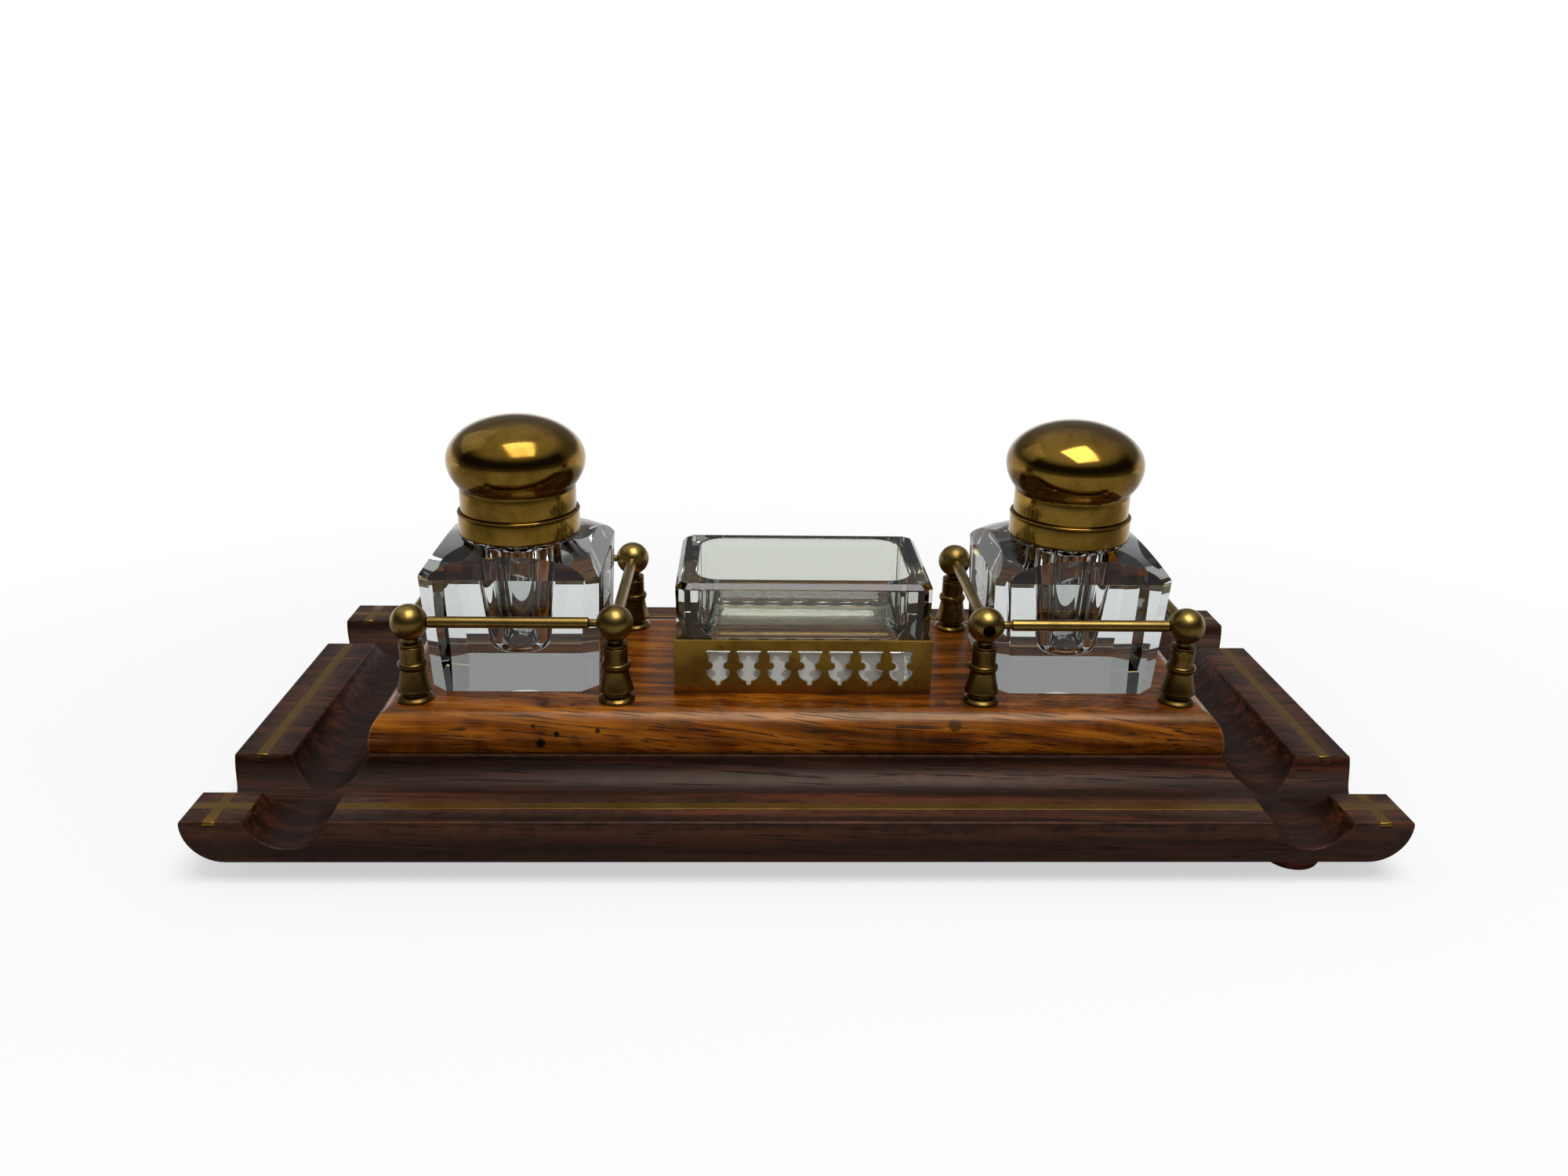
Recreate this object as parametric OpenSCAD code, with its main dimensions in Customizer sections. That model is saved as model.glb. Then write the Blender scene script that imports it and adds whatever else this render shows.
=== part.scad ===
// Desk inkstand: a grooved rosewood board with brass stringing carries a mahogany plinth.
// On the plinth stand two square glass inkwells with hinged brass caps, each inside a
// ball-and-rod gallery, and a glass tray in a pierced brass frame.
// The origin is under the middle of the board at the height of the foot soles.
// +X is the stand's right, +Y its back and +Z up.

/* [Base board] */
// Length of the board, left to right
base_w = 375; // [360:1:420]
// Depth of the board, front to back
base_d = 183; // [176:1:210]
// Thickness of the board
base_t = 13.8; // [13:0.1:18]
// Radius of the round under each end
end_round = 12.4; // [8:0.1:12.6]
// Width of each pen groove at the top of the board
groove_w = 25.5; // [20:0.1:27]
// Depth of each pen groove
groove_d = 9.4; // [7:0.1:9.6]
// Width of the corner blocks and side rails, outside the end grooves
side_rail_w = 18.6; // [16:0.1:24]
// Width of the corner blocks and long rails, outside the long grooves
long_rail_w = 18.2; // [16:0.1:24]

/* [Brass stringing] */
// Width of a brass strip
strip_w = 3.7; // [2:0.1:5]
// Thickness of a brass strip
strip_t = 1.2; // [0.8:0.1:1.3]
// Distance of the side strips' middle from the board's ends
strip_from_end = 8.9; // [6:0.1:11]
// Distance of the long strips' middle from the board's front and back
strip_from_front = 10; // [7:0.1:12]
// Room between a strip and its channel
strip_fit = 0.05; // [0.02:0.01:0.1]

/* [Feet] */
// Diameter of a foot
foot_d = 18.5; // [14:0.1:22]
// Height of a foot below the board
foot_h = 7.5; // [5:0.1:12]
// Distance of a foot's middle from the board's end
foot_from_end = 30; // [26:0.5:60]
// Distance of a foot's middle from the board's front or back
foot_from_front = 15; // [12:0.5:30]
// Distance that the front left foot stands further back than its neighbour
foot_set_back = 7; // [0:0.5:10]
// Diameter of the spigot on a foot
spigot_d = 8; // [5:0.1:10]
// Height of the spigot on a foot
spigot_h = 2.2; // [1.5:0.1:2.4]
// Room round a foot's spigot in its bore
spigot_fit = 0.1; // [0.05:0.05:0.3]

/* [Plinth] */
// Distance of the outer posts' middles from the plinth's edges, all round
post_margin = 13.65; // [12:0.05:14]
// Thickness of the plinth
plinth_t = 14; // [12:0.1:18]
// Width of the moulded edge, from the flat outwards
nose_run = 8; // [6:0.1:10]
// Height of the moulding's widest line above the board
nose_foot = 2.2; // [1:0.1:4]
// Undercut below the moulding's widest line
nose_under = 0.9; // [0.4:0.1:1.6]
// Diameter of the plinth screws' shank
screw_d = 3.5; // [2.5:0.1:4.5]
// Diameter of the plinth screws' head
screw_head_d = 7.2; // [6:0.1:9]
// Length of a plinth screw from the head's face to the tip
screw_l = 20; // [16:0.5:22]
// Distance of the screws from the plinth's middle, left and right
screw_x = 100; // [80:1:115]
// Distance of the screws from the plinth's middle, front and back
screw_y = 18; // [10:1:24]
// Room round a screw in its hole
screw_fit = 0.1; // [0.05:0.05:0.3]

/* [Galleries] */
// Distance of each gallery's middle from the stand's middle
gallery_x = 96.3; // [94:0.1:99]
// How much wider a gallery's post pitch is than its inkwell
gallery_room = 7.5; // [6:0.1:8.5]
// Diameter of a ball
ball_d = 12.3; // [10:0.1:13]
// Height of the ball's middle above the plinth
ball_h = 27.8; // [26.5:0.1:34]
// Diameter of a post's foot flange
flange_d = 12.4; // [11:0.1:13]
// Diameter of the cone's foot on a post
cone_d = 11.6; // [10:0.1:12]
// Diameter of the ring bead on a post
ring_d = 10.1; // [9.4:0.1:11.5]
// Diameter of a post's upper barrel
barrel_d = 8.2; // [6.5:0.1:8.5]
// Diameter of the neck under a ball
post_neck_d = 5; // [3.4:0.1:6]
// Diameter of the stud under a post and of the spigot on its top
stud_d = 3; // [2.4:0.1:3.2]
// Length of the stud under a post
stud_l = 9; // [6:0.5:11]
// Diameter of a rod
rod_d = 3.9; // [3:0.1:4]
// Diameter of the tenons on a rod's ends
tenon_d = 2.6; // [1.6:0.1:2.6]
// Depth of the rod and spigot bores in a ball
ball_bore = 3.2; // [2.5:0.1:3.6]
// Bare length of tenon at the loose end of a front or back rod
rod_slack = 2.4; // [0.5:0.1:4]
// Diameter of the open bore in the front of one ball
open_bore_d = 4.3; // [3:0.1:5]
// Room round studs, spigots and tenons
pin_fit = 0.05; // [0.03:0.01:0.1]

/* [Inkwells] */
// Side of the square glass inkwell at the top of its walls
well_w = 60.5; // [56:0.5:61]
// Widening of each wall from its foot to its top
well_flare = 1.65; // [0:0.05:3]
// Chamfer on the inkwell's corners at the top of its walls
well_chamfer = 4.5; // [3:0.1:8]
// Chamfer on the inkwell's corners at its foot
well_foot_chamfer = 5.6; // [4:0.1:9]
// Height of the walls
well_wall_h = 41; // [38:0.1:43]
// Lean of the facet above each wall, from the upright
well_lean = 35; // [25:1:45]
// Height of the domed shoulder at its middle
well_h = 49.2; // [48:0.1:52]
// Drop of the shoulder's curve at its outermost
shoulder_drop = 16.4; // [12:0.1:18]
// Reach of the shoulder's curve beyond the inkwell's corners
shoulder_reach = 2.5; // [1.5:0.1:6]
// Distance that the inkwells stand behind the galleries' middle
well_back = 0.3; // [0:0.1:0.6]
// Distance that the left inkwell stands towards the left in its gallery
left_well_out = 2; // [0:0.1:2]
// Diameter of the glass neck
neck_d = 37.2; // [34:0.1:38]
// Diameter of the mouth
mouth_d = 27.5; // [22:0.1:29]
// Diameter of the ink cavity at its foot
cavity_d = 21.8; // [16:0.1:24]
// Thickness of glass under the ink cavity
well_floor = 9; // [7:0.1:14]
// Height of bare glass neck between the shoulder's crown and the collar
collar_up = 0.5; // [0.4:0.1:2]
// Outer diameter of the brass collar
collar_d = 42; // [41:0.1:43]
// Height of the brass collar
collar_h = 8; // [6:0.1:11]
// Thickness of the collar's rolled rim
rim_t = 1; // [0.6:0.1:1.5]
// Gap of cement between the collar and the glass
cement_gap = 0.15; // [0.1:0.05:0.3]

/* [Caps] */
// Diameter of the cap's skirt
skirt_d = 40; // [38:0.1:40.4]
// Height of the cap's skirt
skirt_h = 8.5; // [6:0.1:11]
// Largest diameter of the cap
cap_d = 47.6; // [44:0.1:49]
// Height of the dome's upper half
dome_h = 14.9; // [11:0.1:20]
// Wall of the spun brass cap
cap_wall = 1; // [0.8:0.1:1.4]
// Thickness of the plate inside the skirt
plate_t = 1.2; // [0.8:0.1:2]
// Height of the plate above the skirt's edge
plate_up = 1.6; // [1:0.1:3]
// Gap between the closed cap and the collar
seam_gap = 0.2; // [0.1:0.05:0.4]
// Diameter of the hinge knuckles
knuckle_d = 4; // [3.4:0.1:4.6]
// Width of the middle knuckle
knuckle_w = 3.6; // [2.5:0.1:5]
// Width of each outer knuckle
ear_w = 3.2; // [2.5:0.1:4]
// Diameter of the hinge pin
hinge_pin_d = 1.6; // [1.2:0.1:2]
// Play of the hinge along and round its knuckles
hinge_gap = 0.3; // [0.2:0.05:0.4]

/* [Glass tray] */
// Shift of the tray and its frame towards the right
tray_x = 1.2; // [-3:0.1:3]
// Length of the glass tray at its foot
tray_w = 85.8; // [80:0.2:92]
// Depth of the glass tray at its foot
tray_d = 55.8; // [46:0.2:58]
// Widening of each of the tray's sides from its foot to its top
tray_flare = 0.9; // [0:0.1:1]
// Height of the glass tray
tray_h = 39; // [34:0.5:46]
// Chamfer on the tray's upright corners
tray_chamfer = 3.2; // [2:0.1:5]
// Bevel round the tray's top edge
tray_bevel = 2; // [1:0.1:2.5]
// Thickness of the tray's end walls
tray_end_wall = 6.4; // [5:0.1:9]
// Thickness of the tray's front and back walls
tray_side_wall = 5; // [4:0.1:8]
// Depth of the tray's hollow
tray_depth = 22.5; // [14:0.5:28]
// Radius of the hollow's corners
tray_round = 8; // [5:0.1:9]

/* [Tray frame] */
// Height of the pierced frame
frame_h = 19.8; // [18:0.1:24]
// Thickness of the brass sheet
sheet_t = 0.8; // [0.6:0.05:1.2]
// Width of the frame's inturned foot
frame_foot = 4; // [3:0.1:6]
// Room between the frame and the glass tray
tray_fit = 0.6; // [0.55:0.05:0.9]
// Number of piercings along the front
front_piercings = 7; // [3:1:7]
// Number of piercings along each end
end_piercings = 4; // [2:1:4]
// Distance between neighbouring piercings
piercing_pitch = 10.5; // [10:0.1:10.8]
// Shift of the front piercings towards the right
piercing_shift = 2.3; // [0:0.1:4]
// Height of the piercings' lowest point above the frame's foot
piercing_up = 3.1; // [1.6:0.1:4]
// Diameter of the frame pins' shank
frame_pin_d = 1.4; // [1:0.1:2]
// Length of a frame pin
frame_pin_l = 8; // [6:0.5:10]

/* [Hidden] */
$fn = 96;

rosewood = "#3a221b";
mahogany = "#8a4a20";
foot_wood = "#6a3018";
brass = "#9a7a34";
old_brass = "#7c6230";
steel = "#777777";
clear_glass = [0.85, 0.9, 0.92, 0.4];
pale_glass = [0.85, 0.92, 0.84, 0.45];

left = -1;
right = 1;
front = -1;
back = 1;
// A cutter reaches this far past the face it opens
over = 1;

// Heights of the faces that pieces stand on
base_top = foot_h + base_t;
plinth_top = base_top + plinth_t;

// Distance between neighbouring posts of a gallery
post_pitch = well_w + gallery_room;

// The plinth reaches evenly past the galleries' outer posts
plinth_w = 2 * (gallery_x + post_pitch / 2 + post_margin);
plinth_d = post_pitch + 2 * post_margin;

// Groove cutter: a round rod whose middle lies above the board
groove_r = (pow(groove_w / 2, 2) + pow(groove_d, 2)) / (2 * groove_d);
groove_z = base_top - groove_d + groove_r;
end_groove_x = base_w / 2 - side_rail_w - groove_w / 2;
long_groove_y = base_d / 2 - long_rail_w - groove_w / 2;

strip_x = base_w / 2 - strip_from_end;
strip_y = base_d / 2 - strip_from_front;

foot_x = base_w / 2 - foot_from_end;
foot_y = base_d / 2 - foot_from_front;
foot_sole_r = foot_d / 2 - 1.6;
foot_belly_h = foot_h / 2;

head_sink = 0.6;
head_cone_h = (screw_head_d - screw_d) / 2;

ball_r = ball_d / 2;
// Turned levels of a post above the plinth
flange_t = 1.9;
flange_rim = 0.9;
cove_top = 3.7;
cone_top = 11.4;
ring_h = 2.4;
ring_z = cone_top + ring_h / 2 + 0.2;
barrel_base = ring_z + ring_h / 2;
barrel_top = ball_h - ball_r - 0.8;
// A fine turned groove lies this far below the barrel's top
disc_t = 1;
disc_groove = 0.25;
cone_top_d = barrel_d + 0.5;
cone_foot = cove_top + 0.5;
cove_d = cone_d - 3;
spigot_top = ball_h - ball_r + ball_bore - 0.4;

well_r = well_w / 2;
well_foot_r = well_r - well_flare;
// Distances of the canted corners from the inkwell's middle, at the walls' top and foot
cant_r = (2 * well_r - well_chamfer) / sqrt(2);
cant_foot_r = (2 * well_foot_r - well_foot_chamfer) / sqrt(2);
shoulder_r = sqrt(pow(well_r, 2) + pow(well_r - well_chamfer, 2)) + shoulder_reach;
neck_r = neck_d / 2;
collar_in_r = neck_r + cement_gap;
collar_z = plinth_top + well_h + collar_up;
seam_z = collar_z + collar_h;
neck_top = seam_z - 0.8;
cavity_z = plinth_top + well_floor;
cavity_round = 5;
cavity_shoulder = plinth_top + well_wall_h - 1.5;

cap_z = seam_z + seam_gap;
skirt_r = skirt_d / 2;
cap_r = cap_d / 2;
// The dome is an upright ellipse whose lower part runs into the skirt
dome_low = dome_h * sqrt(1 - pow(skirt_r / cap_r, 2)) * 1.12;
dome_mid = cap_z + skirt_h + dome_low;
dome_foot_angle = -acos(skirt_r / cap_r);
dome_low_h = dome_low / sin(-dome_foot_angle);

hinge_y = collar_d / 2 + knuckle_d / 2 + hinge_gap + 0.2;
hinge_z = seam_z + seam_gap / 2;
ear_x = knuckle_w / 2 + hinge_gap;

frame_in_w = tray_w + 2 * tray_fit;
frame_in_d = tray_d + 2 * tray_fit;
frame_out_w = frame_in_w + 2 * sheet_t;
frame_out_d = frame_in_d + 2 * sheet_t;
tray_z = plinth_top + sheet_t;
frame_pin_x = frame_in_w / 2 - frame_foot / 2;
frame_pin_y = frame_in_d / 2 - frame_foot / 2;
frame_head_d = frame_pin_d + 0.8;

// Points along part of an ellipse, from one angle to another
function arc(rx, ry, cx, cy, a0, a1, n) =
  [for (i = [0:n]) let (a = a0 + (a1 - a0) * i / n) [cx + rx * cos(a), cy + ry * sin(a)]];

// Height of the inkwell's shoulder at a distance from its middle
function shoulder_at(r) =
  well_h - shoulder_drop * (1 - pow(1 - pow(r / shoulder_r, 2.85), 1 / 2.85));

// Middle of a foot
function foot_at(sx, sy) =
  [sx * foot_x, sy * foot_y + (sx == left && sy == front ? foot_set_back : 0), 0];

// A bar of the given upright section, lying along Y before it is turned
module lying_bar(turn, long, section) {
  rotate([0, 0, turn])
    rotate([90, 0, 0])
      linear_extrude(long, center = true)
        polygon(section);
}

// Base board

module grooves() {
  for (s = [left, right]) {
    translate([s * end_groove_x, 0, groove_z])
      rotate([90, 0, 0])
        cylinder(r = groove_r, h = base_d + 2 * over, center = true);
    translate([0, s * long_groove_y, groove_z])
      rotate([0, 90, 0])
        cylinder(r = groove_r, h = base_w + 2 * over, center = true);
  }
}

module board_blank() {
  difference() {
    translate([-base_w / 2, -base_d / 2, foot_h])
      cube([base_w, base_d, base_t]);
    for (s = [left, right])
      translate([s * (base_w / 2 - end_round), 0, foot_h + end_round])
        difference() {
          translate([s > 0 ? 0 : -end_round - over, -base_d / 2 - over, -end_round - over])
            cube([end_round + over, base_d + 2 * over, end_round + over]);
          rotate([90, 0, 0])
            cylinder(r = end_round, h = base_d + 4 * over, center = true);
        }
  }
}

module strip_channels() {
  wide = strip_w + 2 * strip_fit;
  for (s = [left, right]) {
    translate([s * strip_x - wide / 2, -base_d / 2 - over, base_top - strip_t - strip_fit])
      cube([wide, base_d + 2 * over, strip_t + over]);
    translate([-base_w / 2 - over, s * strip_y - wide / 2, base_top - strip_t - strip_fit])
      cube([base_w + 2 * over, wide, strip_t + over]);
  }
}

module screw_places() {
  for (sx = [left, right], sy = [front, back])
    translate([sx * screw_x, sy * screw_y, foot_h])
      children();
}

module base_board() {
  color(rosewood)
    difference() {
      board_blank();
      grooves();
      strip_channels();
      for (sx = [left, right], sy = [front, back])
        translate(foot_at(sx, sy) + [0, 0, foot_h - over])
          cylinder(d = spigot_d + 2 * spigot_fit, h = spigot_h + spigot_fit + over);
      screw_places() {
        translate([0, 0, -over])
          cylinder(d = screw_d + 2 * screw_fit, h = base_t + 2 * over);
        translate([0, 0, -over])
          cylinder(d = screw_head_d + 2 * screw_fit, h = over + head_sink);
        translate([0, 0, head_sink])
          cylinder(d1 = screw_head_d + 2 * screw_fit, d2 = screw_d + 2 * screw_fit, h = head_cone_h);
      }
    }
}

// Brass stringing: the grooves trim every strip's end

module strip_along_x(x0, x1, y) {
  translate([x0, y - strip_w / 2, base_top - strip_t])
    cube([x1 - x0, strip_w, strip_t]);
}

module strip_along_y(y0, y1, x) {
  translate([x - strip_w / 2, y0, base_top - strip_t])
    cube([strip_w, y1 - y0, strip_t]);
}

module long_stringing(sy) {
  color(brass)
    difference() {
      strip_along_x(-end_groove_x, end_groove_x, sy * strip_y);
      grooves();
    }
}

module side_stringing(sx) {
  color(brass)
    difference() {
      strip_along_y(-long_groove_y, long_groove_y, sx * strip_x);
      grooves();
    }
}

// The bar from the end runs through, and the two short bars butt against it
module corner_cross(sx, sy) {
  color(brass)
    difference() {
      scale([sx, sy, 1]) {
        strip_along_x(end_groove_x, base_w / 2, strip_y);
        strip_along_y(strip_y + strip_w / 2 + strip_fit, base_d / 2, strip_x);
        strip_along_y(long_groove_y, strip_y - strip_w / 2 - strip_fit, strip_x);
      }
      grooves();
    }
}

// Feet

module foot(sx, sy) {
  color(foot_wood)
    translate(foot_at(sx, sy)) {
      rotate_extrude()
        polygon(concat(
          [[0, 0], [foot_sole_r, 0]],
          arc(foot_d / 2 - foot_sole_r, foot_belly_h, foot_sole_r, foot_belly_h, -80, 0, 6),
          arc(foot_d / 2 - foot_sole_r, foot_h - foot_belly_h, foot_sole_r, foot_belly_h, 10, 60, 4),
          [[foot_sole_r + 0.6, foot_h], [0, foot_h]]));
      translate([0, 0, foot_h - 0.5])
        cylinder(d = spigot_d, h = spigot_h + 0.5);
    }
}

// Plinth: a board with a thumb moulding along its four sides

function moulded_section(wide) =
  let (flat = wide / 2 - nose_run)
  concat(
    [[-flat, plinth_t], [flat, plinth_t]],
    arc(nose_run, plinth_t - nose_foot, flat, nose_foot, 80, 0, 9),
    arc(nose_under, nose_foot, wide / 2 - nose_under, nose_foot, -18, -90, 4),
    arc(nose_under, nose_foot, nose_under - wide / 2, nose_foot, -90, -162, 4),
    arc(nose_run, plinth_t - nose_foot, -flat, nose_foot, 180, 100, 9));

module plinth() {
  color(mahogany)
    difference() {
      translate([0, 0, base_top])
        intersection() {
          lying_bar(90, plinth_w + 2 * over, moulded_section(plinth_d));
          lying_bar(0, plinth_d + 2 * over, moulded_section(plinth_w));
        }
      for (side = [left, right])
        post_places(side)
          translate([0, 0, -stud_l - 2 * pin_fit])
            cylinder(d = stud_d + 2 * pin_fit, h = stud_l + 2 * pin_fit + over);
      screw_places()
        cylinder(d = screw_d + 2 * screw_fit, h = screw_l + head_sink + screw_fit);
      frame_pin_places()
        translate([0, 0, -frame_pin_l])
          cylinder(d = frame_pin_d + 2 * pin_fit, h = frame_pin_l + over);
    }
}

module plinth_screws() {
  color(steel)
    screw_places()
      translate([0, 0, head_sink])
        difference() {
          union() {
            cylinder(d1 = screw_head_d, d2 = screw_d, h = head_cone_h);
            cylinder(d = screw_d, h = screw_l);
          }
          translate([0, 0, head_sink / 2])
            cube([screw_head_d, 1, head_sink + 0.2], center = true);
        }
}

// Galleries: each post carries a drilled ball, and rods join the balls

module post_places(side) {
  for (ix = [left, right], iy = [front, back])
    translate([side * gallery_x + ix * post_pitch / 2, iy * post_pitch / 2, plinth_top])
      children();
}

module gallery_post(side, ix, iy) {
  color(old_brass)
    translate([side * gallery_x + ix * post_pitch / 2, iy * post_pitch / 2, plinth_top]) {
      rotate_extrude() {
        polygon(concat(
          [[0, 0], [flange_d / 2, 0], [flange_d / 2, flange_rim]],
          [[flange_d / 2 - 1.3, flange_t], [cove_d / 2 + 0.2, flange_t + 0.1]],
          [[cove_d / 2, (flange_t + cove_top) / 2], [cove_d / 2 + 0.3, cove_top - 0.25]],
          [[cone_d / 2 - 0.4, cove_top], [cone_d / 2, cove_top + 0.15]],
          [for (i = [0:6]) [cone_top_d / 2 + (cone_d - cone_top_d) / 2 * pow(1 - i / 6, 1.35),
            cone_foot + (cone_top - cone_foot) * i / 6]],
          [[0, cone_top]]));
        polygon(concat(
          [[0, cone_top], [cone_top_d / 2, cone_top]],
          arc(ring_d / 2 - barrel_d / 2, ring_h / 2, barrel_d / 2, ring_z, -80, 80, 8),
          [[barrel_d / 2, barrel_base], [barrel_d / 2, barrel_top - disc_t - 2 * disc_groove]],
          [[barrel_d / 2 - disc_groove, barrel_top - disc_t - disc_groove]],
          [[barrel_d / 2, barrel_top - disc_t], [barrel_d / 2, barrel_top - 0.15]],
          [[barrel_d / 2 - 0.15, barrel_top], [post_neck_d / 2, barrel_top]],
          [[post_neck_d / 2, ball_h - sqrt(pow(ball_r, 2) - pow(post_neck_d / 2, 2)) - pin_fit]],
          [[stud_d / 2, ball_h - sqrt(pow(ball_r, 2) - pow(stud_d / 2, 2)) - pin_fit]],
          [[stud_d / 2, spigot_top], [0, spigot_top]]));
      }
      translate([0, 0, -stud_l])
        cylinder(d = stud_d, h = stud_l + flange_t / 2);
    }
}

// A bore runs from the ball's skin towards its middle
module ball_hole(d) {
  translate([0, 0, ball_r - ball_bore])
    cylinder(d = d + 2 * pin_fit, h = ball_bore + over);
}

module gallery_ball(side, ix, iy, open_front) {
  color(brass)
    translate([side * gallery_x + ix * post_pitch / 2, iy * post_pitch / 2, plinth_top + ball_h])
      difference() {
        sphere(r = ball_r);
        rotate([180, 0, 0])
          ball_hole(stud_d);
        rotate([0, -90 * ix, 0])
          ball_hole(tenon_d);
        rotate([90 * iy, 0, 0])
          ball_hole(tenon_d);
        if (open_front)
          rotate([90, 0, 0])
            ball_hole(open_bore_d);
      }
}

// A rod of the given bare tenon at its far end, along +Z from one ball's middle
module rod(slack) {
  shoulder = ball_r + pin_fit;
  tenon_end = ball_r - ball_bore + 2 * pin_fit;
  translate([0, 0, shoulder])
    cylinder(d = rod_d, h = post_pitch - 2 * shoulder - slack);
  translate([0, 0, tenon_end])
    cylinder(d = tenon_d, h = post_pitch - 2 * tenon_end);
}

module rod_along_x(side, iy) {
  color(brass)
    translate([side * (gallery_x + post_pitch / 2), iy * post_pitch / 2, plinth_top + ball_h])
      rotate([0, -90 * side, 0])
        rod(rod_slack);
}

module rod_along_y(side, ix) {
  color(brass)
    translate([side * gallery_x + ix * post_pitch / 2, -post_pitch / 2, plinth_top + ball_h])
      rotate([-90, 0, 0])
        rod(0);
}

// Inkwells

module well_place(side) {
  translate([side * gallery_x - (side == left ? left_well_out : 0), well_back, 0])
    children();
}

module ink_cavity() {
  rotate_extrude()
    polygon(concat(
      [[0, cavity_z]],
      arc(cavity_round, cavity_round, cavity_d / 2 - cavity_round, cavity_z + cavity_round, -90, -4, 6),
      [[mouth_d / 2, cavity_shoulder], [mouth_d / 2, neck_top + over], [0, neck_top + over]]));
}

// Four walls that widen upwards, a leaning facet above each, canted corners and a domed shoulder
module well_block() {
  long = 4 * well_w;
  up = well_h + over;
  cant_up_r = cant_foot_r + (cant_r - cant_foot_r) * up / well_wall_h;
  roofed = [[-well_foot_r, 0], [well_foot_r, 0], [well_r, well_wall_h],
    [0, well_wall_h + well_r / tan(well_lean)], [-well_r, well_wall_h]];
  canted = [[-cant_foot_r, 0], [cant_foot_r, 0], [cant_up_r, up], [-cant_up_r, up]];
  outer = shoulder_r - shoulder_reach / 2;
  inner = neck_r - 1;
  intersection() {
    lying_bar(0, long, roofed);
    lying_bar(90, long, roofed);
    lying_bar(45, long, canted);
    lying_bar(-45, long, canted);
    rotate_extrude()
      polygon(concat(
        [[0, -over], [outer, -over]],
        [for (i = [0:10]) let (r = outer + (inner - outer) * i / 10) [r, shoulder_at(r)]],
        [[0, shoulder_at(inner)]]));
  }
}

// The neck flares a little where it rises from the shoulder
module well_neck() {
  foot_r = neck_r + 1.2;
  rotate_extrude()
    polygon([[0, well_wall_h], [foot_r, well_wall_h], [foot_r, shoulder_at(foot_r) - 0.2],
      [neck_r + 0.25, well_h + collar_up / 4], [neck_r, well_h + collar_up / 2],
      [neck_r, neck_top - plinth_top], [0, neck_top - plinth_top]]);
}

module inkwell(side) {
  color(clear_glass)
    well_place(side)
      difference() {
        translate([0, 0, plinth_top]) {
          well_block();
          well_neck();
        }
        ink_cavity();
      }
}

module hinge_knuckle(x0, x1) {
  translate([x0, hinge_y, hinge_z])
    rotate([0, 90, 0])
      cylinder(d = knuckle_d, h = x1 - x0);
}

module hinge_bore() {
  translate([0, hinge_y, hinge_z])
    rotate([0, 90, 0])
      cylinder(d = hinge_pin_d + 2 * pin_fit, h = 2 * (ear_x + ear_w + over), center = true);
}

module collar(side) {
  color(brass)
    well_place(side)
      difference() {
        union() {
          translate([0, 0, collar_z])
            cylinder(d = collar_d, h = collar_h - rim_t);
          rotate_extrude()
            polygon(concat(
              [[0, seam_z - rim_t]],
              arc(0.35, rim_t / 2, collar_d / 2 - 0.1, seam_z - rim_t / 2, -90, 90, 6),
              [[0, seam_z]]));
          for (s = [left, right]) {
            x0 = s > 0 ? ear_x : -ear_x - ear_w;
            hinge_knuckle(x0, x0 + ear_w);
            translate([x0, skirt_r, hinge_z - knuckle_d / 2])
              cube([ear_w, hinge_y - skirt_r, knuckle_d / 2 - hinge_gap]);
          }
        }
        translate([0, 0, collar_z - over])
          cylinder(r = collar_in_r, h = collar_h + 2 * over);
        hinge_bore();
      }
}

module hinge_pin(side) {
  color(old_brass)
    well_place(side)
      translate([0, hinge_y, hinge_z])
        rotate([0, 90, 0])
          cylinder(d = hinge_pin_d, h = 2 * (ear_x + ear_w) + 0.6, center = true);
}

// The cap's outline, drawn in by the given wall
module cap_outline(wall) {
  polygon(concat(
    [[0, cap_z - (wall > 0 ? over : 0)], [skirt_r - wall, cap_z - (wall > 0 ? over : 0)]],
    [[skirt_r - wall, cap_z + skirt_h - wall / 2]],
    arc(cap_r - wall, dome_low_h - wall, 0, dome_mid, dome_foot_angle * 0.97, -6, 8),
    arc(cap_r - wall, dome_h - wall, 0, dome_mid, 0, 90, 16)));
}

module cap(side) {
  color(brass)
    well_place(side)
      difference() {
        union() {
          rotate_extrude()
            cap_outline(0);
          hinge_knuckle(-knuckle_w / 2, knuckle_w / 2);
          translate([-knuckle_w / 2, skirt_r - cap_wall / 2, hinge_z + hinge_gap])
            cube([knuckle_w, hinge_y - skirt_r + cap_wall / 2, knuckle_d / 2 - hinge_gap]);
        }
        rotate_extrude()
          cap_outline(cap_wall);
        hinge_bore();
      }
}

module cap_plate(side) {
  color(old_brass)
    well_place(side)
      translate([0, 0, cap_z + plate_up])
        difference() {
          cylinder(r = skirt_r - cap_wall - pin_fit, h = plate_t);
          translate([0, 0, -over])
            cylinder(r = skirt_r - cap_wall - 3, h = over + plate_t / 3);
        }
}

// Glass tray

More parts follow.
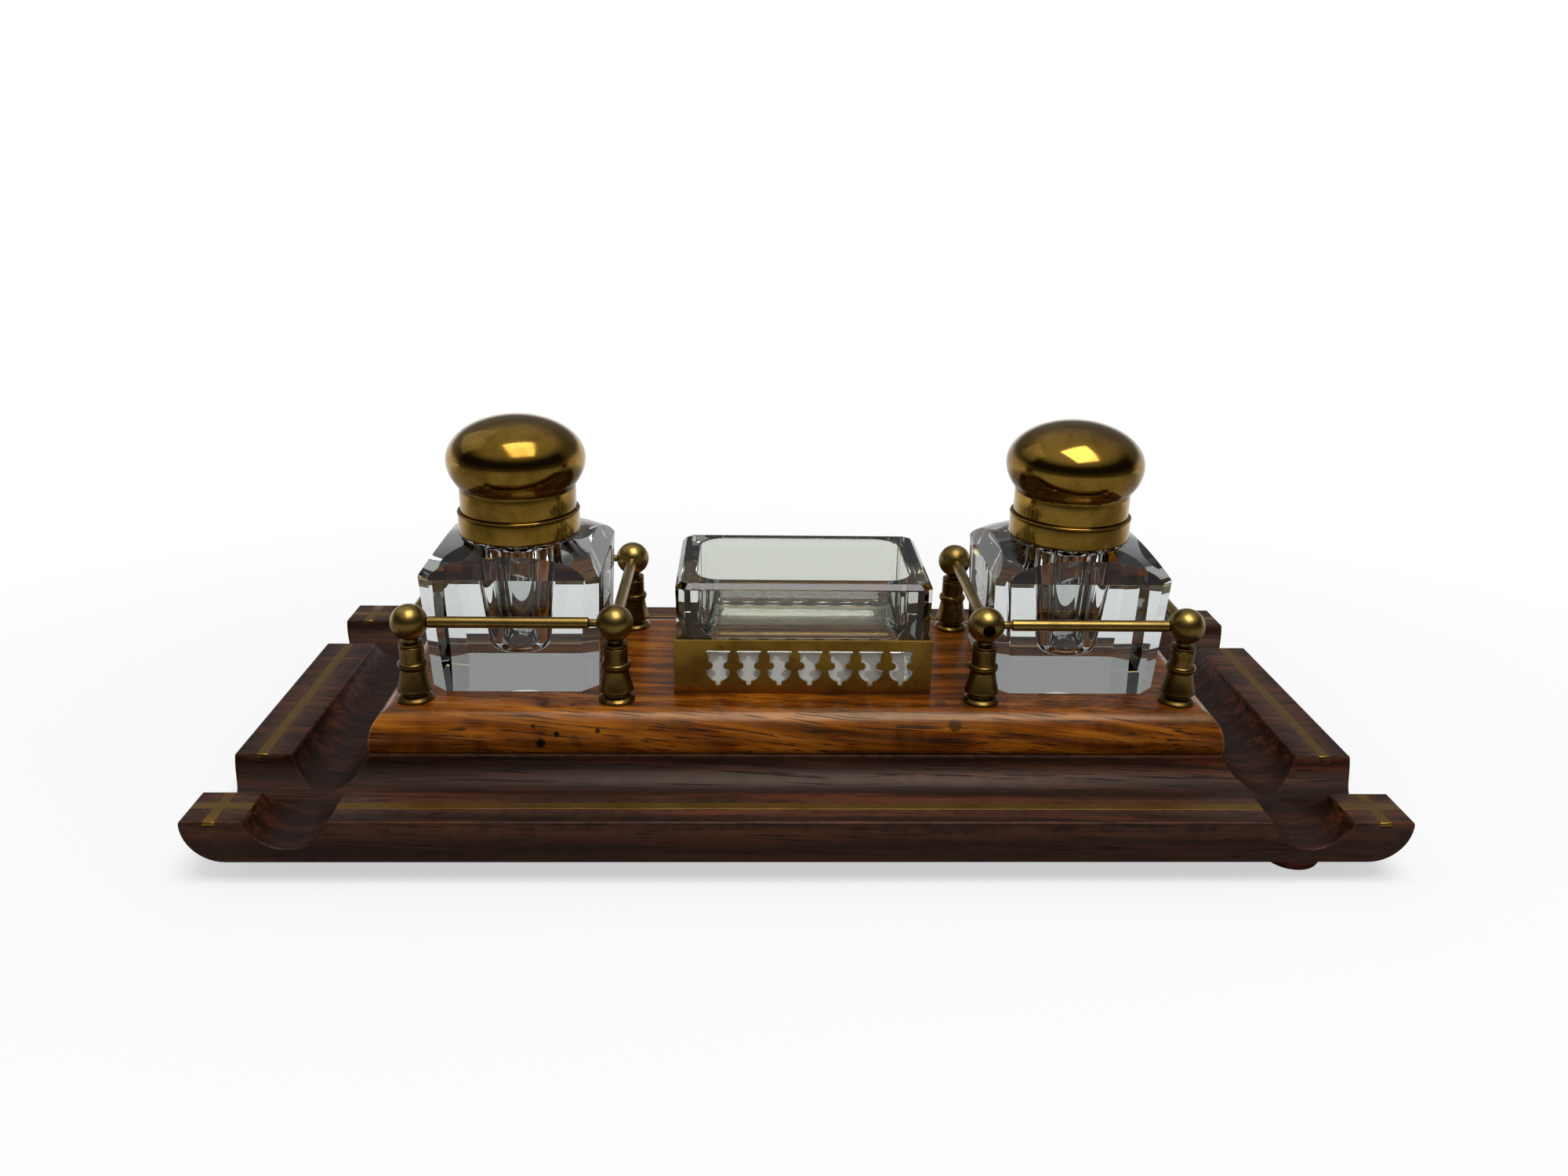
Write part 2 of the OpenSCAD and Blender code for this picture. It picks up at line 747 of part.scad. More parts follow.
module tray_hollow() {
  x = tray_w / 2 - tray_end_wall - tray_round;
  y = tray_d / 2 - tray_side_wall - tray_round;
  floor_z = tray_z + tray_h - tray_depth;
  tall = tray_depth - tray_round + over;
  translate([-x, -y, floor_z])
    cube([2 * x, 2 * y, tray_depth + over]);
  translate([0, 0, floor_z + tray_round]) {
    for (s = [left, right]) {
      translate([s * x, 0, 0])
        rotate([90, 0, 0])
          cylinder(r = tray_round, h = 2 * y, center = true);
      translate([0, s * y, 0])
        rotate([0, 90, 0])
          cylinder(r = tray_round, h = 2 * x, center = true);
      for (t = [front, back])
        translate([s * x, t * y, 0]) {
          sphere(r = tray_round);
          cylinder(r = tray_round, h = tall);
        }
    }
    translate([-x - tray_round, -y, 0])
      cube([2 * (x + tray_round), 2 * y, tall]);
    translate([-x, -y - tray_round, 0])
      cube([2 * x, 2 * (y + tray_round), tall]);
  }
}

// Section of the tray from its foot to its bevelled rim
function bevelled_section(half, flare) =
  let (edge = half + flare * (tray_h - tray_bevel) / tray_h, rim = half + flare - tray_bevel)
  [[-half, 0], [half, 0], [edge, tray_h - tray_bevel], [rim, tray_h], [-rim, tray_h],
    [-edge, tray_h - tray_bevel]];

module tray_block() {
  long = 2 * tray_w;
  canted = bevelled_section((tray_w / 2 + tray_d / 2 - tray_chamfer) / sqrt(2), tray_flare * sqrt(2));
  intersection() {
    lying_bar(0, long, bevelled_section(tray_w / 2, tray_flare));
    lying_bar(90, long, bevelled_section(tray_d / 2, tray_flare));
    lying_bar(45, long, canted);
    lying_bar(-45, long, canted);
  }
}

module glass_tray() {
  color(pale_glass)
    translate([tray_x, 0, 0])
      difference() {
        translate([0, 0, tray_z])
          tray_block();
        tray_hollow();
      }
}

// Pierced frame: horned top, two beads at the waist and a round bowl with a tail

module piercing() {
  bowl_r = 4.15;
  bowl_z = 1.3 + bowl_r;
  bead_r = 1.3;
  bead_x = 3.15;
  waist_z = bowl_z + 0.5 + bead_r;
  top_z = 12.9;
  horn = 4.1;
  throat = 3.3;
  translate([-0.8, 0])
    square([1.6, 2.4]);
  intersection() {
    translate([0, bowl_z])
      circle(r = bowl_r, $fn = 48);
    translate([-bowl_r, 0])
      square([2 * bowl_r, bowl_z + 0.3]);
  }
  difference() {
    translate([-bead_x, bowl_z])
      square([2 * bead_x, top_z - bowl_z]);
    for (s = [left, right])
      translate([s * bead_x, waist_z])
        circle(r = bead_r, $fn = 32);
  }
  difference() {
    translate([-horn, waist_z + bead_r])
      square([2 * horn, top_z - waist_z - bead_r]);
    for (s = [left, right])
      translate([s * (throat + 1.7), (top_z + waist_z + bead_r) / 2 - 0.3])
        circle(r = 1.7, $fn = 32);
    for (s = [left, right])
      translate([s * (throat + 1) - 1, waist_z])
        square([2, bead_r + 0.8]);
  }
}

module piercing_row(count) {
  for (i = [0:count - 1])
    translate([(i - (count - 1) / 2) * piercing_pitch, piercing_up])
      piercing();
}

module frame_pin_places() {
  for (sx = [left, right], sy = [front, back])
    translate([tray_x + sx * frame_pin_x, sy * frame_pin_y, plinth_top])
      children();
}

module tray_frame() {
  color(brass)
    difference() {
      translate([tray_x - frame_out_w / 2, -frame_out_d / 2, plinth_top])
        cube([frame_out_w, frame_out_d, frame_h]);
      translate([tray_x - frame_in_w / 2, -frame_in_d / 2, tray_z])
        cube([frame_in_w, frame_in_d, frame_h]);
      translate([tray_x + frame_foot - frame_in_w / 2, frame_foot - frame_in_d / 2, plinth_top - over])
        cube([frame_in_w - 2 * frame_foot, frame_in_d - 2 * frame_foot, sheet_t + 2 * over]);
      for (s = [front, back])
        translate([tray_x - s * piercing_shift, s * (frame_out_d - sheet_t) / 2, plinth_top])
          rotate([90, 0, 0])
            linear_extrude(sheet_t + over, center = true)
              piercing_row(front_piercings);
      for (s = [left, right])
        translate([tray_x + s * (frame_out_w - sheet_t) / 2, 0, plinth_top])
          rotate([90, 0, 90])
            linear_extrude(sheet_t + over, center = true)
              piercing_row(end_piercings);
      frame_pin_places() {
        cylinder(d = frame_pin_d + 2 * pin_fit, h = 3 * sheet_t, center = true);
        translate([0, 0, sheet_t / 3])
          cylinder(d = frame_head_d + 2 * pin_fit, h = sheet_t);
      }
    }
}

// Each pin's head lies below the top of the frame's foot, under the glass
module tray_pins() {
  color(old_brass)
    frame_pin_places() {
      translate([0, 0, pin_fit - frame_pin_l])
        cylinder(d = frame_pin_d, h = frame_pin_l + sheet_t / 2);
      translate([0, 0, sheet_t / 3 + pin_fit])
        cylinder(d = frame_head_d, h = sheet_t / 2);
    }
}

base_board();
long_stringing(front);  // front_stringing
long_stringing(back);  // back_stringing
side_stringing(left);  // left_stringing
side_stringing(right);  // right_stringing
corner_cross(left, front);  // cross_front_left
corner_cross(right, front);  // cross_front_right
corner_cross(left, back);  // cross_back_left
corner_cross(right, back);  // cross_back_right
foot(left, front);  // foot_front_left
foot(right, front);  // foot_front_right
foot(left, back);  // foot_back_left
foot(right, back);  // foot_back_right
plinth();
plinth_screws();
gallery_post(left, left, front);  // left_post_front_left
gallery_post(left, right, front);  // left_post_front_right
gallery_post(left, left, back);  // left_post_back_left
gallery_post(left, right, back);  // left_post_back_right
gallery_post(right, left, front);  // right_post_front_left
gallery_post(right, right, front);  // right_post_front_right
gallery_post(right, left, back);  // right_post_back_left
gallery_post(right, right, back);  // right_post_back_right
gallery_ball(left, left, front, false);  // left_ball_front_left
gallery_ball(left, right, front, false);  // left_ball_front_right
gallery_ball(left, left, back, false);  // left_ball_back_left
gallery_ball(left, right, back, false);  // left_ball_back_right
gallery_ball(right, left, front, true);  // right_ball_front_left
gallery_ball(right, right, front, false);  // right_ball_front_right
gallery_ball(right, left, back, false);  // right_ball_back_left
gallery_ball(right, right, back, false);  // right_ball_back_right
rod_along_x(left, front);  // left_rod_front
rod_along_x(left, back);  // left_rod_back
rod_along_y(left, left);  // left_rod_left
rod_along_y(left, right);  // left_rod_right
rod_along_x(right, front);  // right_rod_front
rod_along_x(right, back);  // right_rod_back
rod_along_y(right, left);  // right_rod_left
rod_along_y(right, right);  // right_rod_right
inkwell(left);  // left_inkwell
collar(left);  // left_collar
hinge_pin(left);  // left_hinge_pin
cap(left);  // left_cap
cap_plate(left);  // left_cap_plate
inkwell(right);  // right_inkwell
collar(right);  // right_collar
hinge_pin(right);  // right_hinge_pin
cap(right);  // right_cap
cap_plate(right);  // right_cap_plate
tray_frame();
tray_pins();
glass_tray();
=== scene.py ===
"""Looks of a desk inkstand: a grooved rosewood board inlaid with brass, a mahogany plinth,
two square glass inkwells with domed brass caps, ball-and-rod galleries and a glass tray in a
pierced brass frame. Sizes in the classes are millimetres; every mesh is made in metres."""

import logging
import math
from dataclasses import dataclass, field
from enum import Enum
from typing import Iterable, Sequence

import bmesh
import bpy
from mathutils import Matrix, Vector


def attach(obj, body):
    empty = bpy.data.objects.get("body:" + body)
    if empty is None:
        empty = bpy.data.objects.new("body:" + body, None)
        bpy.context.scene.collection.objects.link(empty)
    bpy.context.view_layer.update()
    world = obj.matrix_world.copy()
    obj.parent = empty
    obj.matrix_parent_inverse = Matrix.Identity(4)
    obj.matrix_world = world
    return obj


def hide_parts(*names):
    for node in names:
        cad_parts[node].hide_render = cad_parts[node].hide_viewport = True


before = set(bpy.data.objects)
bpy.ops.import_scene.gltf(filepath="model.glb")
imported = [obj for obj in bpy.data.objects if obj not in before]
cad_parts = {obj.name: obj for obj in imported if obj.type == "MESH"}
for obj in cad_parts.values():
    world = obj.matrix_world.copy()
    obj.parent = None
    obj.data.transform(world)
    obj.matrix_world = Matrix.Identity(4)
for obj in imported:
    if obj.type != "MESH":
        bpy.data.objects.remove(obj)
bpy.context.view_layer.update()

LOG = logging.getLogger("inkstand")
MM = 0.001
FRONT_AND_BACK = ((-1, "front"), (1, "back"))
LEFT_AND_RIGHT = ((-1, "left"), (1, "right"))
QUARTERS = ((-1, -1), (1, -1), (1, 1), (-1, 1))
Point = tuple[float, float, float]
Flat = tuple[float, float]
Colour = tuple[float, float, float, float]
Socket = bpy.types.NodeSocket


def tone(code: str) -> Colour:
    """Turns a six-digit display colour into the linear colour that a shader takes.

    Args:
        code: the colour, such as "8a4a1c".
    Returns:
        red, green, blue and an alpha of 1.
    """
    parts = [int(code[i:i + 2], 16) / 255 for i in (0, 2, 4)]
    linear = [c / 12.92 if c <= 0.04045 else ((c + 0.055) / 1.055) ** 2.4 for c in parts]
    return (linear[0], linear[1], linear[2], 1.0)


class Side(Enum):
    """Which half of the stand a piece belongs to."""

    LEFT = -1
    RIGHT = 1

    @property
    def word(self) -> str:
        """The side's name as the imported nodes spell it."""
        return self.name.lower()


class Corner(Enum):
    """How the upright corners of a glass block are finished."""

    CANTED = "canted"
    ROUND = "round"


# Mesh making


@dataclass
class Shell:
    """A closed mesh under construction, as loops of points that are bridged to each other."""

    points: list[Point] = field(default_factory=list)
    faces: list[tuple[int, ...]] = field(default_factory=list)

    def loop(self, points: Iterable[Point]) -> list[int]:
        """Adds points and returns their numbers."""
        first = len(self.points)
        self.points.extend(points)
        return list(range(first, len(self.points)))

    def bridge(self, low: Sequence[int], high: Sequence[int], closed: bool = True) -> None:
        """Joins two loops of the same length with quads."""
        count = len(low)
        for i in range(count if closed else count - 1):
            j = (i + 1) % count
            self.faces.append((low[i], low[j], high[j], high[i]))

    def fan(self, loop: Sequence[int], tip: int, upward: bool) -> None:
        """Closes a loop with triangles to one point."""
        for i, a in enumerate(loop):
            b = loop[(i + 1) % len(loop)]
            self.faces.append((a, b, tip) if upward else (b, a, tip))

    def skin(self, rings: Sequence[Sequence[Point]], shut: bool = False) -> None:
        """Lofts a form through rings; a ring of one point is a pole.

        Args:
            rings: the rings in order, each with the same number of points or just one.
            shut: whether the last ring joins the first, as in a hollow piece.
        """
        loops = [self.loop(ring) for ring in rings]
        for low, high in zip(loops, loops[1:] + (loops[:1] if shut else [])):
            if len(low) == len(high) == 1:
                continue
            if len(low) == 1:
                self.fan(high, low[0], False)
            elif len(high) == 1:
                self.fan(low, high[0], True)
            else:
                self.bridge(low, high)

    def prism(self, near: Iterable[Point], far: Iterable[Point]) -> "Shell":
        """Adds two end faces and the sides between them, and returns the shell."""
        first, last = self.loop(near), self.loop(far)
        self.bridge(first, last)
        self.faces += [tuple(reversed(first)), tuple(last)]
        return self

    def placed(self, matrix: Matrix) -> "Shell":
        """Returns a copy whose points are moved by a matrix in millimetres."""
        moved = [tuple(matrix @ Vector(p)) for p in self.points]
        return Shell(moved, list(self.faces))

    def join(self, other: "Shell") -> None:
        """Takes in another shell's points and faces."""
        shift = len(self.points)
        self.points.extend(other.points)
        self.faces.extend(tuple(i + shift for i in face) for face in other.faces)

    def mesh(self, name: str) -> bpy.types.Mesh:
        """The raw mesh, in metres."""
        mesh = bpy.data.meshes.new(name)
        mesh.from_pydata([[c * MM for c in p] for p in self.points], [], self.faces)
        return mesh

    def build(self, name: str, crease: float = 35.0) -> bpy.types.Object:
        """Makes the object, in metres, with smooth faces and sharp creases.

        Args:
            name: the object's name.
            crease: edges that turn by more than this many degrees stay sharp.
        Returns:
            the new object, linked to the scene.
        """
        return finish_mesh(self.mesh(name), name, crease)


def linked(name: str, data: bpy.types.ID) -> bpy.types.Object:
    """A new object in the scene that holds a mesh, a lamp or a camera."""
    piece = bpy.data.objects.new(name, data)
    bpy.context.scene.collection.objects.link(piece)
    return piece


def plain_mesh(piece: bpy.types.Object) -> bpy.types.Mesh:
    """What a piece's modifiers make of it, as a plain mesh."""
    bpy.context.view_layer.update()
    graph = bpy.context.evaluated_depsgraph_get()
    return bpy.data.meshes.new_from_object(piece.evaluated_get(graph), depsgraph=graph)


def finish_mesh(mesh: bpy.types.Mesh, name: str, crease: float) -> bpy.types.Object:
    """Merges doubles, turns the faces out, marks the arrises and links the object.

    Args:
        mesh: the raw mesh in metres.
        name: the object's name.
        crease: the angle in degrees above which an edge stays sharp.
    Returns:
        the new object.
    """
    work = bmesh.new()
    work.from_mesh(mesh)
    bmesh.ops.remove_doubles(work, verts=work.verts, dist=1e-6)
    bmesh.ops.dissolve_degenerate(work, dist=1e-7, edges=work.edges)
    bmesh.ops.recalc_face_normals(work, faces=work.faces)
    for face in work.faces:
        face.smooth = True
    work.to_mesh(mesh)
    work.free()
    mesh.set_sharp_from_angle(angle=math.radians(crease))
    mark_arrises(mesh)
    return linked(name, mesh)


# Edges that turn by less than the first angle, in radians, count as smooth, and those that turn
# by the second angle more than that count as fully sharp
SMOOTH_TURN, SHARP_TURN = 0.12, 0.3


def mark_arrises(mesh: bpy.types.Mesh) -> None:
    """Stores in the attribute "arris" how sharply each point stands out (1) or lies in (-1)."""
    work = bmesh.new()
    work.from_mesh(mesh)
    values = []
    for vert in work.verts:
        turns = [e.calc_face_angle_signed(0.0) for e in vert.link_edges if len(e.link_faces) == 2]
        top = max(turns, key=abs, default=0.0)
        sharp = math.copysign(max(0.0, abs(top) - SMOOTH_TURN) / SHARP_TURN, top)
        values.append(max(-1.0, min(1.0, sharp)))
    work.free()
    layer = mesh.attributes.get("arris") or mesh.attributes.new("arris", "FLOAT", "POINT")
    layer.data.foreach_set("value", values)


def arc(radius: float, cx: float, cy: float, start: float, end: float, steps: int,
        tall: float | None = None) -> list[Flat]:
    """Points along the arc of a circle or an oval.

    Args:
        radius: the circle's radius, or half the oval's width.
        cx: its centre, across.
        cy: its centre, up.
        start: first angle in degrees.
        end: last angle in degrees.
        steps: number of pieces the arc is cut into.
        tall: half the oval's height, or nothing for a circle.
    Returns:
        steps + 1 points.
    """
    rise = radius if tall is None else tall
    angles = [math.radians(start + (end - start) * i / steps) for i in range(steps + 1)]
    return [(cx + radius * math.cos(a), cy + rise * math.sin(a)) for a in angles]


def soften(points: Sequence[Flat], radius: float, steps: int = 3, shut: bool = False) -> list[Flat]:
    """Rounds the corners of a flat line and adds a point beside each, so that shading stays flat.

    Args:
        points: the line's corners.
        radius: the rounding radius; a short side limits it.
        steps: number of pieces of each rounding.
        shut: whether the line closes on itself.
    Returns:
        the rounded line.
    """
    out: list[Flat] = []
    count = len(points)
    for i, here in enumerate(points):
        if not shut and i in (0, count - 1):
            out.append(here)
            continue
        p, c, n = Vector(points[i - 1]), Vector(here), Vector(points[(i + 1) % count])
        before, after = p - c, n - c
        if before.length < 1e-6 or after.length < 1e-6:
            continue
        half = before.angle(after) / 2
        if half > math.radians(80):
            out.append(here)
            continue
        cut = min(radius / math.tan(half), before.length * 0.45, after.length * 0.45)
        real = cut * math.tan(half)
        u, v = before.normalized(), after.normalized()
        centre = c + (u + v).normalized() * (real / math.sin(half))
        first, last = c + u * cut - centre, c + v * cut - centre
        sweep = first.angle_signed(last)
        if before.length > 4 * cut:
            out.append(tuple(c + u * cut * 1.8))
        for k in range(steps + 1):
            angle = -sweep * k / steps
            turned = Matrix.Rotation(angle, 2) @ first
            out.append(tuple(centre + turned))
        if after.length > 4 * cut:
            out.append(tuple(c + v * cut * 1.8))
    return out


def circles(profile: Sequence[Flat], steps: int) -> list[list[Point]]:
    """A ring of points for each (radius, height) of a profile; a radius of 0 is a pole."""
    ring = [2 * math.pi * k / steps for k in range(steps)]
    return [[(0.0, 0.0, z)] if r < 1e-6 else
            [(r * math.cos(a), r * math.sin(a), z) for a in ring] for r, z in profile]


def turned(profile: Sequence[Flat], steps: int = 64) -> Shell:
    """Turns a profile of (radius, height) round the Z axis.

    Args:
        profile: the outline from the foot's middle up to the top's middle.
        steps: number of facets round the axis.
    Returns:
        the closed shell.
    """
    shell = Shell()
    shell.skin(circles(profile, steps))
    return shell


def at(x: float = 0, y: float = 0, z: float = 0, turn: float = 0,
       tilt: Matrix | None = None) -> Matrix:
    """A placement matrix in millimetres, turned about Z by degrees after an optional tilt."""
    place = Matrix.Translation((x, y, z)) @ Matrix.Rotation(math.radians(turn), 4, "Z")
    return place @ tilt if tilt else place


def lying_bar(section: Sequence[Flat], length: float, turn: float) -> Shell:
    """A bar whose upright section is given, lying along Y and then turned about Z by degrees."""
    near, far = ([(x, y, z) for x, z in section] for y in (-length / 2, length / 2))
    return Shell().prism(near, far).placed(at(turn=turn))


# How near to a corner a flat side's first point lies, in millimetres
FLAT_MARGIN = 0.35
LIE_ALONG_X = Matrix.Rotation(math.radians(90), 4, "Y")
LIE_ALONG_Y = Matrix.Rotation(math.radians(-90), 4, "X")


def block_ring(x: float, y: float, cut: float, corner: Corner, side_steps: int,
               corner_steps: int) -> list[Flat]:
    """The outline of a rectangle with finished corners, always in the same order.

    Args:
        x: half its length.
        y: half its depth.
        cut: the corner's radius, or the cant's width.
        corner: how the corners are finished.
        side_steps: pieces along each side.
        corner_steps: pieces along each corner.
    Returns:
        the points, anticlockwise from the front right corner.
    """
    bends: list[list[Flat]] = []
    for sx, sy, start in ((1, -1, -90), (1, 1, 0), (-1, 1, 90), (-1, -1, 180)):
        cx, cy = sx * (x - cut), sy * (y - cut)
        if corner is Corner.ROUND:
            bends.append(arc(cut, cx, cy, start, start + 90, corner_steps))
        else:
            bends.append(spread(*arc(cut, cx, cy, start, start + 90, 1), corner_steps, FLAT_MARGIN))
    whole: list[Flat] = []
    for bend, after in zip(bends, bends[1:] + bends[:1]):
        whole.extend(bend)
        whole.extend(spread(bend[-1], after[0], side_steps, FLAT_MARGIN)[1:-1])
    return whole


def spread(a: Flat, b: Flat, steps: int, margin: float) -> list[Flat]:
    """Points from a to b, with one close to each end that keeps the flat between them flat."""
    length = math.dist(a, b)
    if length < 4 * margin or steps < 4:
        stops = [i / steps for i in range(steps + 1)]
    else:
        near = margin / length
        stops = [0, near] + [i / (steps - 2) for i in range(1, steps - 2)] + [1 - near, 1]
    return [(a[0] + (b[0] - a[0]) * t, a[1] + (b[1] - a[1]) * t) for t in stops]


def weighted(piece: bpy.types.Object) -> None:
    """Keeps large faces flat beside rounded arrises."""
    modifier = piece.modifiers.new("flat_faces", "WEIGHTED_NORMAL")
    modifier.keep_sharp = True
    modifier.weight = 100


def dress(piece: bpy.types.Object, look: bpy.types.Material, body: str, slot: str,
          *nodes: str) -> bpy.types.Object:
    """Gives a finished piece its material and body, and hides the CAD nodes that it stands for.

    Args:
        piece: the object, at the origin with its place in its mesh.
        look: its material.
        body: the CAD body that it rides on.
        slot: the record's material slot; not used.
        nodes: the CAD nodes that it replaces.
    Returns:
        the same object.
    """
    piece.data.materials.clear()
    piece.data.materials.append(look)
    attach(piece, body)
    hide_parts(*nodes)
    LOG.info("%s: %d faces on body %s", piece.name, len(piece.data.polygons), body)
    return piece


# Shader making


class Graph:
    """A thin hand for building a node tree."""

    def __init__(self, tree: bpy.types.NodeTree) -> None:
        """Empties the tree and keeps it.

        Args:
            tree: the material's, world's or group's node tree.
        """
        self.tree = tree
        tree.nodes.clear()

    def add(self, kind: str, **settings: object) -> bpy.types.Node:
        """Adds a node; a keyword that names one of its properties sets it.

        Args:
            kind: the node's type name.
            settings: property values.
        Returns:
            the node.
        """
        node = self.tree.nodes.new(kind)
        for key, value in settings.items():
            setattr(node, key, value)
        return node

    def put(self, target: Socket, source: object) -> None:
        """Links an output to a socket, or sets the socket to a plain value."""
        if isinstance(source, Socket):
            self.tree.links.new(source, target)
        else:
            target.default_value = source

    def math(self, operation: str, a: object, b: object = 0.0,
             clamp: bool = False) -> Socket:
        """A Math node's result."""
        node = self.add("ShaderNodeMath", operation=operation, use_clamp=clamp)
        self.put(node.inputs[0], a)
        self.put(node.inputs[1], b)
        return node.outputs[0]

    def vector(self, operation: str, a: object, b: object) -> Socket:
        """A Vector Math node's vector; for SCALE, b is the factor."""
        node = self.add("ShaderNodeVectorMath", operation=operation)
        self.put(node.inputs[0], a)
        self.put(node.inputs["Scale" if operation == "SCALE" else 1], b)
        return node.outputs[0]

    def combine(self, x: object = 0.0, y: object = 0.0, z: object = 0.0) -> Socket:
        """A vector made of three values."""
        node = self.add("ShaderNodeCombineXYZ")
        for socket, value in zip(node.inputs, (x, y, z)):
            self.put(socket, value)
        return node.outputs[0]

    def axis(self, name: str, vector: Socket) -> Socket:
        """A vector's X, Y or Z."""
        node = self.add("ShaderNodeSeparateXYZ")
        self.put(node.inputs[0], vector)
        return node.outputs[name]

    def grey(self, value: Socket) -> Socket:
        """A grey colour of the given level."""
        node = self.add("ShaderNodeCombineColor")
        for socket in node.inputs:
            self.put(socket, value)
        return node.outputs[0]

    def where(self) -> Socket:
        """The plain Object coordinates."""
        return self.add("ShaderNodeTexCoord").outputs["Object"]

    def ramp(self, value: object, stops: Sequence[tuple[float, Colour]]) -> Socket:
        """A colour ramp's colour at a value."""
        node = self.add("ShaderNodeValToRGB")
        band = node.color_ramp
        while len(band.elements) < len(stops):
            band.elements.new(0.5)
        for element, (place, colour) in zip(band.elements, stops):
            element.position = place
            element.color = colour
        self.put(node.inputs[0], value)
        return node.outputs[0]

    def span(self, value: object, low: float, high: float, to_low: float = 0.0,
             to_high: float = 1.0) -> Socket:
        """A smooth step of a value from one range to another."""
        node = self.add("ShaderNodeMapRange", interpolation_type="SMOOTHSTEP")
        self.put(node.inputs["Value"], value)
        for name, number in (("From Min", low), ("From Max", high),
                             ("To Min", to_low), ("To Max", to_high)):
            node.inputs[name].default_value = number
        return node.outputs["Result"]

    def mix(self, share: object, a: object, b: object) -> Socket:
        """Mixes two colours."""
        node = self.add("ShaderNodeMix", data_type="RGBA", blend_type="MIX")
        self.put(node.inputs[0], share)
        self.put(node.inputs[6], a)
        self.put(node.inputs[7], b)
        return node.outputs[2]

    def cover(self, colour: object, share: object, most: float, code: str) -> Socket:
        """Lays a display colour over another by a share, and by no more than the most."""
        return self.mix(self.math("MULTIPLY", share, most), colour, tone(code))

    def join_shaders(self, kind: str, a: Socket, b: Socket,
                     share: object = None) -> Socket:
        """Adds or mixes two shaders."""
        node = self.add(kind)
        if share is not None:
            self.put(node.inputs[0], share)
        self.put(node.inputs[-2], a)
        self.put(node.inputs[-1], b)
        return node.outputs[0]

    def noise(self, vector: object, scale: object, detail: float = 4.0, rough: float = 0.55,
              warp: float = 0.0) -> Socket:
        """A noise texture's value."""
        node = self.add("ShaderNodeTexNoise")
        self.put(node.inputs["Vector"], vector)
        self.put(node.inputs["Scale"], scale)
        node.inputs["Detail"].default_value = detail
        node.inputs["Roughness"].default_value = rough
        node.inputs["Distortion"].default_value = warp
        return node.outputs["Fac"]

    def place(self, scale: Point = (1, 1, 1), shift: Point = (0, 0, 0)) -> Socket:
        """Object coordinates through a Mapping node."""
        mapping = self.add("ShaderNodeMapping")
        self.put(mapping.inputs["Vector"], self.where())
        mapping.inputs["Scale"].default_value = scale
        mapping.inputs["Location"].default_value = shift
        return mapping.outputs["Vector"]

    def bump(self, height: object, strength: float, depth: float) -> Socket:
        """A bump normal from a height in 0 to 1 and a depth in millimetres."""
        node = self.add("ShaderNodeBump")
        node.inputs["Strength"].default_value = strength
        node.inputs["Distance"].default_value = depth * MM
        self.put(node.inputs["Height"], height)
        return node.outputs["Normal"]

    def arris(self) -> Socket:
        """The stored attribute that tells proud edges from hollows."""
        return self.add("ShaderNodeAttribute", attribute_name="arris").outputs["Fac"]

    def group(self, tree: bpy.types.NodeTree, **values: object) -> bpy.types.Node:
        """Places a shared node group with its own values."""
        node = self.add("ShaderNodeGroup")
        node.node_tree = tree
        for key, value in values.items():
            self.put(node.inputs[key.replace("_", " ").capitalize()], value)
        return node

    def principled(self, **values: object) -> bpy.types.Node:
        """A Principled BSDF whose sockets are set or linked by their names."""
        node = self.add("ShaderNodeBsdfPrincipled")
        for key, value in values.items():
            self.put(node.inputs[key.replace("_", " ")], value)
        return node

    def output(self, surface: Socket) -> None:
        """Joins the surface to the material's output."""
        self.put(self.add("ShaderNodeOutputMaterial").inputs["Surface"], surface)


Started = tuple[bpy.types.NodeTree, Graph, dict[str, Socket], bpy.types.Node]


def start_tree(tree: bpy.types.NodeTree, inputs: Iterable[tuple[str, str, object]],
               outputs: Iterable[tuple[str, str]]) -> Started:
    """Gives a new node group its sockets, its entry and its exit.

    Args:
        tree: the new group.
        inputs: each input's name, socket type and default, which may be nothing.
        outputs: each output's name and socket type.
    Returns:
        the tree, its graph, its input sockets by name, and its output node.
    """
    for key, kind, value in inputs:
        socket = tree.interface.new_socket(key, in_out="INPUT", socket_type=kind)
        if value is not None:
            socket.default_value = value
    for key, kind in outputs:
        tree.interface.new_socket(key, in_out="OUTPUT", socket_type=kind)
    graph = Graph(tree)
    entry = graph.add("NodeGroupInput")
    leave = graph.add("NodeGroupOutput")
    return tree, graph, {s.name: s for s in entry.outputs if s.name}, leave


def new_group(name: str, inputs: dict[str, float], *outputs: str) -> Started:
    """Starts a shader node group whose inputs and outputs are all plain values."""
    tree = bpy.data.node_groups.new(name, "ShaderNodeTree")
    return start_tree(tree, [(key, "NodeSocketFloat", value) for key, value in inputs.items()],
                      [(key, "NodeSocketFloat") for key in outputs])


